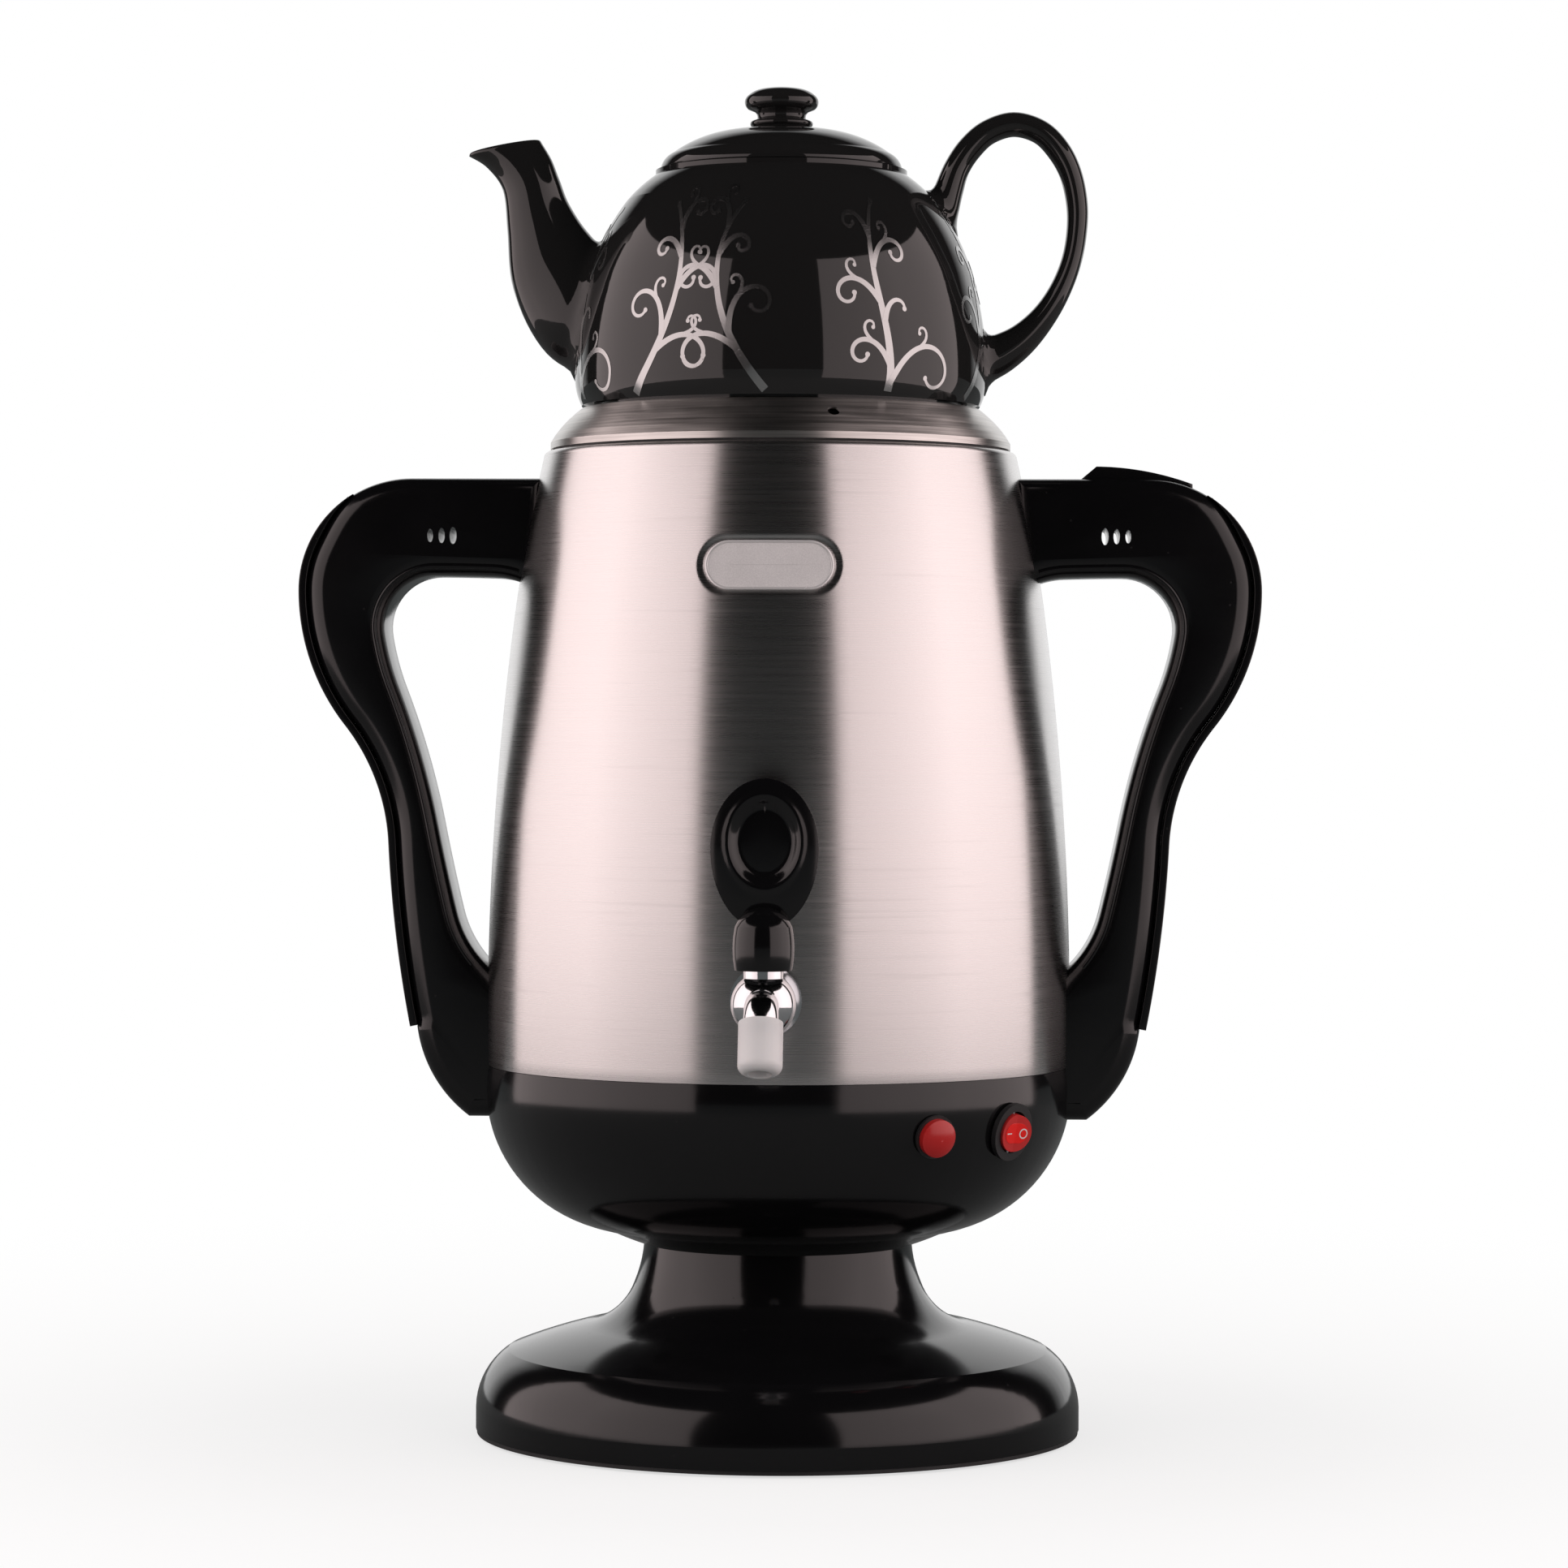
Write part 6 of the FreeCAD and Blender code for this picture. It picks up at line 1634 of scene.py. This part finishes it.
@dataclass
class Tap(Assembly):
    """The tap: chrome body, black bonnet and lever, silicone nozzle."""

    top_z: float = 259.0
    low_z: float = 203.4
    cut_z: float = 206.0
    half_width: float = 19.9
    wide_z: float = 233.2
    back_y: float = -130.9
    thickness: float = 5.5
    edge_steps: tuple[Point, ...] = ((0.0, 2.4), (0.25, 2.3), (0.25, 1.9), (0.0, 1.5), (0.8, 0.0))
    rings: int = 30
    dish_z: float = 235.9
    dish: Point = (13.4, 16.8)
    dish_depth: float = 2.9
    tick_z: float = 247.8
    tick_step: float = 4.0
    tick_r: float = 0.32
    pivot: Point = (133.5, 197.3)
    hub_r: float = 3.3
    hub_reach: float = 5.4
    fork_reach: float = 8.6
    fork: float = 2.6
    around: int = 96

    def rim(self, angle: float) -> Point:
        """Finds a place on the paddle's egg-shaped edge.

        Args:
            angle: Its angle from the right, in radians.

        Returns:
            The place as (x, z).
        """
        up = math.sin(angle)
        reach = self.top_z - self.wide_z if up > 0 else self.wide_z - self.low_z
        return (self.half_width * math.cos(angle), max(self.wide_z + up * reach, self.cut_z))

    def front(self, x: float, z: float, share: float) -> float:
        """Finds how far the paddle's front stands out at a place.

        Args:
            x: The place's x.
            z: Its height.
            share: Its distance from the paddle's middle, 1 at the edge.

        Returns:
            The distance from the paddle's back.
        """
        crown = self.thickness - 1.9 * share ** 3
        apart = math.hypot(x / self.dish[0], (z - self.dish_z) / self.dish[1])
        lip = 0.3 * math.exp(-(((apart - 1.05) / 0.07) ** 2))
        hollow = self.dish_depth * ease((1.01 - apart) / 0.30)
        return crown + lip - hollow

    def build_paddle(self) -> None:
        """Makes the lever: egg-shaped paddle with a thumb dish, hub and fork."""
        edge = [self.rim(math.tau * k / self.around) for k in range(self.around)]
        verts: list[Vertex] = [(0.0, self.back_y - self.front(0, self.wide_z, 0), self.wide_z)]
        for ring in range(1, self.rings + 1):
            share = ring / self.rings
            for x, z in ((x * share, self.wide_z + (z - self.wide_z) * share) for x, z in edge):
                verts.append((x, self.back_y - self.front(x, z, share), z))
        for inset, y in self.edge_steps:
            scale = 1 - inset / self.half_width
            side_y, middle = self.back_y - y, self.wide_z
            verts += [(x * scale, side_y, middle + (z - middle) * scale) for x, z in edge]
        faces = [(0, 1 + k, 1 + (k + 1) % self.around) for k in range(self.around)]
        faces += ring_faces(self.rings + len(self.edge_steps), self.around, 1)
        faces.append(tuple(range(len(verts) - self.around, len(verts))))
        make_piece("lever_paddle", verts, faces, BLACK, "lever", ["tap_lever"], 50.0)

    def build_hub(self) -> None:
        """Makes the arm, hub and fork between the paddle and the valve's stem."""
        y, z = -self.pivot[0], self.pivot[1]
        section = Outline((y + self.hub_r * 0.8, z + 14.0), 0.6).line((y + self.hub_r, z))
        section.arc((y - 0.5, z - self.hub_r), -self.hub_r * 1.1)
        tip = y - self.fork_reach
        section.line((tip, z - self.fork / 2), (tip, z + self.fork / 2))
        section.line((y - self.hub_r, z + self.hub_r * 0.6), (y - self.hub_r * 0.45, z + 14.0))
        reach = self.hub_reach
        verts = [(x, *place) for x in (-reach, reach) for place in section.points]
        count = len(section.points)
        faces = ring_faces(2, count) + end_caps(count, len(verts))
        make_piece("lever_hub", verts, faces, BLACK, "lever", (), 40.0)

    def build_ticks(self) -> None:
        """Makes the three grip marks at the top of the thumb dish."""
        for k in (-1, 0, 1):
            x = self.tick_step * k
            line = []
            for step in range(7):
                z = self.tick_z - 1.5 + step * 0.5
                bend = x * (1 + 0.02 * (z - self.tick_z))
                up = (z - self.wide_z) / (self.top_z - self.wide_z)
                share = math.hypot(bend / self.half_width, up)
                line.append((bend, self.back_y - self.front(bend, z, share) + 0.05, z))
            make_piece(f"lever_tick_{k + 1}", *self.ridge(line), BLACK, "lever")

    def ridge(self, line: Sequence[Vertex], around: int = 10) -> Shape:
        """Makes a small round ridge along a line that runs up the paddle.

        Args:
            line: The line.
            around: Points round the ridge.

        Returns:
            Vertices and faces.
        """
        verts: list[Vertex] = []
        for k, (x, y, z) in enumerate(line):
            reach = self.tick_r * math.sqrt(max(1 - (2 * k / (len(line) - 1) - 1) ** 2, 0.04))
            verts += [(x + reach * cos, y + reach * sin, z) for cos, sin in circle(around)]
        return verts, ring_faces(len(line), around) + end_caps(around, len(verts))

    def build(self) -> None:
        """Makes the lever's pieces."""
        self.build_paddle()
        self.build_hub()
        self.build_ticks()

    def dress(self) -> None:
        """Finishes the tap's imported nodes."""
        dress(CHROME, "tap_body", "tap_escutcheon", "lever_pin", "tap_nut")
        dress(BLACK, "tap_bonnet")
        dress(SILICONE, "tap_nozzle")
        dress(RUBBER, "tap_washer", "seat_cup")
        dress(PLAIN_STEEL, "valve_stem", "valve_spring")


@dataclass
class Controls(Assembly):
    """Pilot lamp and rocker switch on the bowl."""

    radius: float = 113.9217
    z: float = 125.0
    tilt: float = 11.428
    switch_azimuth: float = 52.5
    stand_off: float = 0.2
    rocker_tilt: float = 11.0
    rocker_middle: float = 3.3
    rocker_slope: float = 0.1605
    face_half: Point = (5.5, 3.9)
    face_columns: int = 25
    face_rise: Point = (0.03, 0.16)
    bar_x: float = -3.4
    bar_half: Point = (1.3, 0.22)
    ring_x: float = 3.5
    ring_reach: Point = (1.35, 1.8)
    mark_rise: float = 0.2

    def seat(self, azimuth: float, turn: float = 0.0) -> Matrix:
        """Finds where a control stands: its own Z points out of the bowl.

        Args:
            azimuth: Degrees to the right of the front.
            turn: How far it tips to its right, in degrees.

        Returns:
            The control's frame, in metres.
        """
        angle = math.radians(azimuth)
        spot = Vector((math.sin(angle) * self.radius, -math.cos(angle) * self.radius, self.z)) * MM
        seat = Matrix.Translation(spot) @ Matrix.Rotation(angle, 4, "Z")
        seat = seat @ Matrix.Rotation(math.radians(90 + self.tilt), 4, "X")
        seat = seat @ Matrix.Translation((0, 0, self.stand_off * MM))
        return seat @ Matrix.Rotation(math.radians(-turn), 4, "Y")

    def on_rocker(self, x: float, y: float, rise: float) -> Vertex:
        """Returns a place on the rocker's hollow top."""
        return (x, y, self.rocker_middle + self.rocker_slope * abs(x) + rise)

    def build(self) -> None:
        """Makes the rocker's bright oblong face, painted light on the rocker's top, and its two
        printed marks.
        """
        seat = self.seat(self.switch_azimuth, self.rocker_tilt)
        half_x, half_y = self.face_half
        count = self.face_columns
        low, high = self.face_rise
        verts: list[Vertex] = []
        for x in (half_x * (2 * k / (count - 1) - 1) for k in range(count)):
            end = max(abs(x) - (half_x - half_y), 0.0)
            reach = math.sqrt(max(half_y ** 2 - end ** 2, 0.01))
            for share, rise in ((-1.0, low), (-0.97, high), (0.97, high), (1.0, low)):
                verts.append(self.on_rocker(x, reach * share, rise))
        faces = ring_faces(count, 4, closed=False)
        make_piece("rocker_face", verts, faces, PAINTED_LIGHT_ROCKER_FACE, "rocker", (), 30.0, seat)
        long, thin = self.bar_half
        bar = [
            self.on_rocker(self.bar_x + x, y, self.mark_rise)
            for x in (-long, long) for y in (-thin, thin)
        ]
        make_piece("rocker_bar", bar, [(0, 2, 3, 1)], MARKS, "rocker", (), 30.0, seat)
        ring = [
            self.on_rocker(self.ring_x + reach * cos, reach * 1.1 * sin, self.mark_rise)
            for reach in self.ring_reach for cos, sin in circle(40)
        ]
        make_piece("rocker_ring", ring, ring_faces(2, 40), MARKS, "rocker", (), 30.0, seat)

    def dress(self) -> None:
        """Finishes the controls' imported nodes."""
        dress(LENS, "lamp_lens")
        dress(ROCKER, "switch_rocker")
        dress(SATIN_BLACK, "switch_housing", "lamp_holder")
        dress(PLAIN_STEEL, "switch_pin")
        dress(BRASS, "switch_terminals")


# Studio


@dataclass
class Studio:
    """Camera, floor, two soft panels and a white surround."""

    distance: float = 1.888
    height: float = 0.2787
    azimuth: float = 2.3
    focal: float = 5900.0
    image: float = 1932.0
    sensor: float = 36.0
    horizon: float = 893.0
    axis_x: float = 960.6
    roll: float = 0.19
    panel_distance: float = 1.3
    panel_low: float = 0.0
    panel_high: float = 1.36
    panel_spans: tuple[Point, Point] = ((-29.0, -119.5), (25.0, 116.0))
    panel_strength: float = 1.6
    panel_fade: Point = (-1.45, 0.75)
    panel_columns: int = 25
    panel_colors: tuple[Color, ...] = (
        (0.62, 0.53, 0.525), (1.0, 0.855, 0.845), (0.86, 0.735, 0.725),
    )
    world_light: float = 0.42
    backdrop: Point = (0.70, 0.84)
    floor_fade: Point = (0.22, 0.9)
    floor_paints: tuple[Color, Color] = ((0.86, 0.90, 0.90), (0.89, 0.93, 0.93))
    floor_dim: Color = (0.24, 0.26, 0.26)
    floor_white: Point = (1.22, 1.0)
    floor_seen: float = 0.55
    floor_rings: tuple[float, ...] = (0.15, 0.3, 0.6, 1.2, 2.4, 5.0, 9.0)

    def build_camera(self) -> None:
        """Sets the camera where the photograph was taken from."""
        data = bpy.data.cameras.new("camera")
        data.sensor_width = self.sensor
        data.lens = self.focal / self.image * self.sensor
        middle = self.image / 2
        data.shift_y = (self.horizon - middle) / self.image
        data.shift_x = (middle - self.axis_x) / self.image
        data.clip_end = 50.0
        camera = put_in_scene("camera", data)
        angle = math.radians(self.azimuth)
        across, back = math.sin(angle), -math.cos(angle)
        camera.location = (self.distance * across, self.distance * back, self.height)
        turn = Matrix.Rotation(angle, 4, "Z") @ Matrix.Rotation(math.radians(90), 4, "X")
        turn = turn @ Matrix.Rotation(math.radians(self.roll), 4, "Z")
        camera.rotation_euler = turn.to_euler()
        bpy.context.scene.camera = camera

    def build_world(self) -> None:
        """Makes the white surround: even for the camera, behind the samovar for reflections."""
        world = bpy.data.worlds.new("surround")
        bpy.context.scene.world = world
        bench = Bench.fresh(world)
        rays = bench.add("ShaderNodeLightPath").outputs
        way = bench.add("ShaderNodeTexCoord").outputs["Generated"]
        back = bench.add("ShaderNodeSeparateXYZ", {0: way}).outputs["Y"]
        backdrop = bench.window(back, *self.backdrop)
        shiny = bench.maths("MAXIMUM", rays["Is Glossy Ray"], rays["Is Transmission Ray"])
        level = bench.add("ShaderNodeMix", {0: shiny, 2: self.world_light, 3: backdrop}).outputs[0]
        level = bench.add("ShaderNodeMix", {0: rays["Is Camera Ray"], 2: level, 3: 1.0}).outputs[0]
        sockets = {"Color": (1.0, 1.0, 1.0, 1.0), "Strength": level}
        light = bench.add("ShaderNodeBackground", sockets)
        bench.add("ShaderNodeOutputWorld", {"Surface": light.outputs[0]})

    def build_panel(self, name: str, span: Point) -> None:
        """Makes one soft panel bent round the samovar, which the camera doesn't see.

        Args:
            name: The panel's name.
            span: Its first and last angle, in degrees to the right of the front.
        """
        count = self.panel_columns
        reach = self.panel_distance
        shares = [k / (count - 1) for k in range(count)]
        angles = [math.radians(span[0] + (span[1] - span[0]) * share) for share in shares]
        verts = [
            (reach * math.sin(angle), -reach * math.cos(angle), z)
            for z in (self.panel_low, self.panel_high) for angle in angles
        ]
        mesh = bpy.data.meshes.new(name)
        mesh.from_pydata(verts, [], ring_faces(2, count, 0, closed=False))
        material = bpy.data.materials.new(name)
        bench = Bench.fresh(material)
        where = bench.spot()
        front = bench.add("ShaderNodeSeparateXYZ", {0: where}).outputs["Y"]
        glow = bench.add("ShaderNodeValToRGB", {0: bench.window(front, *self.panel_fade)})
        front_color, side_color, back_color = map(rgba, self.panel_colors)
        glow.color_ramp.elements[0].color = front_color
        glow.color_ramp.elements[1].color = back_color
        glow.color_ramp.elements.new(0.5).color = side_color
        sockets = {"Color": glow.outputs[0], "Strength": self.panel_strength}
        light = bench.add("ShaderNodeEmission", sockets)
        bench.add("ShaderNodeOutputMaterial", {"Surface": light.outputs[0]})
        mesh.materials.append(material)
        panel = put_in_scene(name, mesh)
        panel.visible_camera = False
        panel.visible_shadow = False

    def build_floor(self) -> None:
        """Makes the pale floor, which fades into the surround and keeps the samovar's shadow."""
        around = 64
        verts = [(r * cos, r * sin, 0.0) for r in self.floor_rings for cos, sin in circle(around)]
        faces = ring_faces(len(self.floor_rings), around) + [tuple(range(around))]
        mesh = bpy.data.meshes.new("floor")
        mesh.from_pydata(verts, [], faces)
        material = bpy.data.materials.new("floor")
        bench = Bench.fresh(material)
        rays = bench.add("ShaderNodeLightPath").outputs
        where = bench.spot()
        reach = bench.add("ShaderNodeVectorMath", {0: where}, operation="LENGTH").outputs["Value"]
        fade = bench.window(reach, *self.floor_fade)
        grain = bench.noise(where, 60.0, 3.0)
        paint = bench.blend(grain, *map(rgba, self.floor_paints))
        matt = bench.add("ShaderNodeBsdfDiffuse", {"Color": paint})
        strength = bench.spread(fade, *self.floor_white)
        sockets = {"Color": rgba((1.0, 1.0, 1.0)), "Strength": strength}
        white = bench.add("ShaderNodeEmission", sockets)
        share = bench.spread(fade, self.floor_seen, 1.0)
        sockets = {0: share, 1: matt.outputs[0], 2: white.outputs[0]}
        seen = bench.add("ShaderNodeMixShader", sockets)
        dim = bench.add("ShaderNodeBsdfDiffuse", {"Color": rgba(self.floor_dim)})
        sockets = {0: rays["Is Camera Ray"], 1: dim.outputs[0], 2: seen.outputs[0]}
        shown = bench.add("ShaderNodeMixShader", sockets)
        bench.add("ShaderNodeOutputMaterial", {"Surface": shown.outputs[0]})
        mesh.materials.append(material)
        floor = put_in_scene("floor", mesh)

    def build(self) -> None:
        """Sets up the whole studio."""
        self.build_camera()
        self.build_world()
        for name, span in zip(("panel_left", "panel_right"), self.panel_spans):
            self.build_panel(name, span)
        self.build_floor()
        bpy.context.scene.view_settings.view_transform = "Standard"


def main() -> None:
    """Builds and dresses the sub-assemblies."""
    life_group()
    grain_group()
    shell = SteelShell()
    pot = Teapot()
    assemblies: list[Assembly] = [
        Stand(), shell, Badge(shell), Lid(), Grip(Side.LEFT), Grip(Side.RIGHT), ThumbButton(),
        pot, Vines(pot), Tap(), Controls(),
    ]
    for assembly in assemblies:
        assembly.build()
        assembly.dress()
        log.info("%s done", type(assembly).__name__)
    Studio().build()


if __name__ == "__main__":
    main()
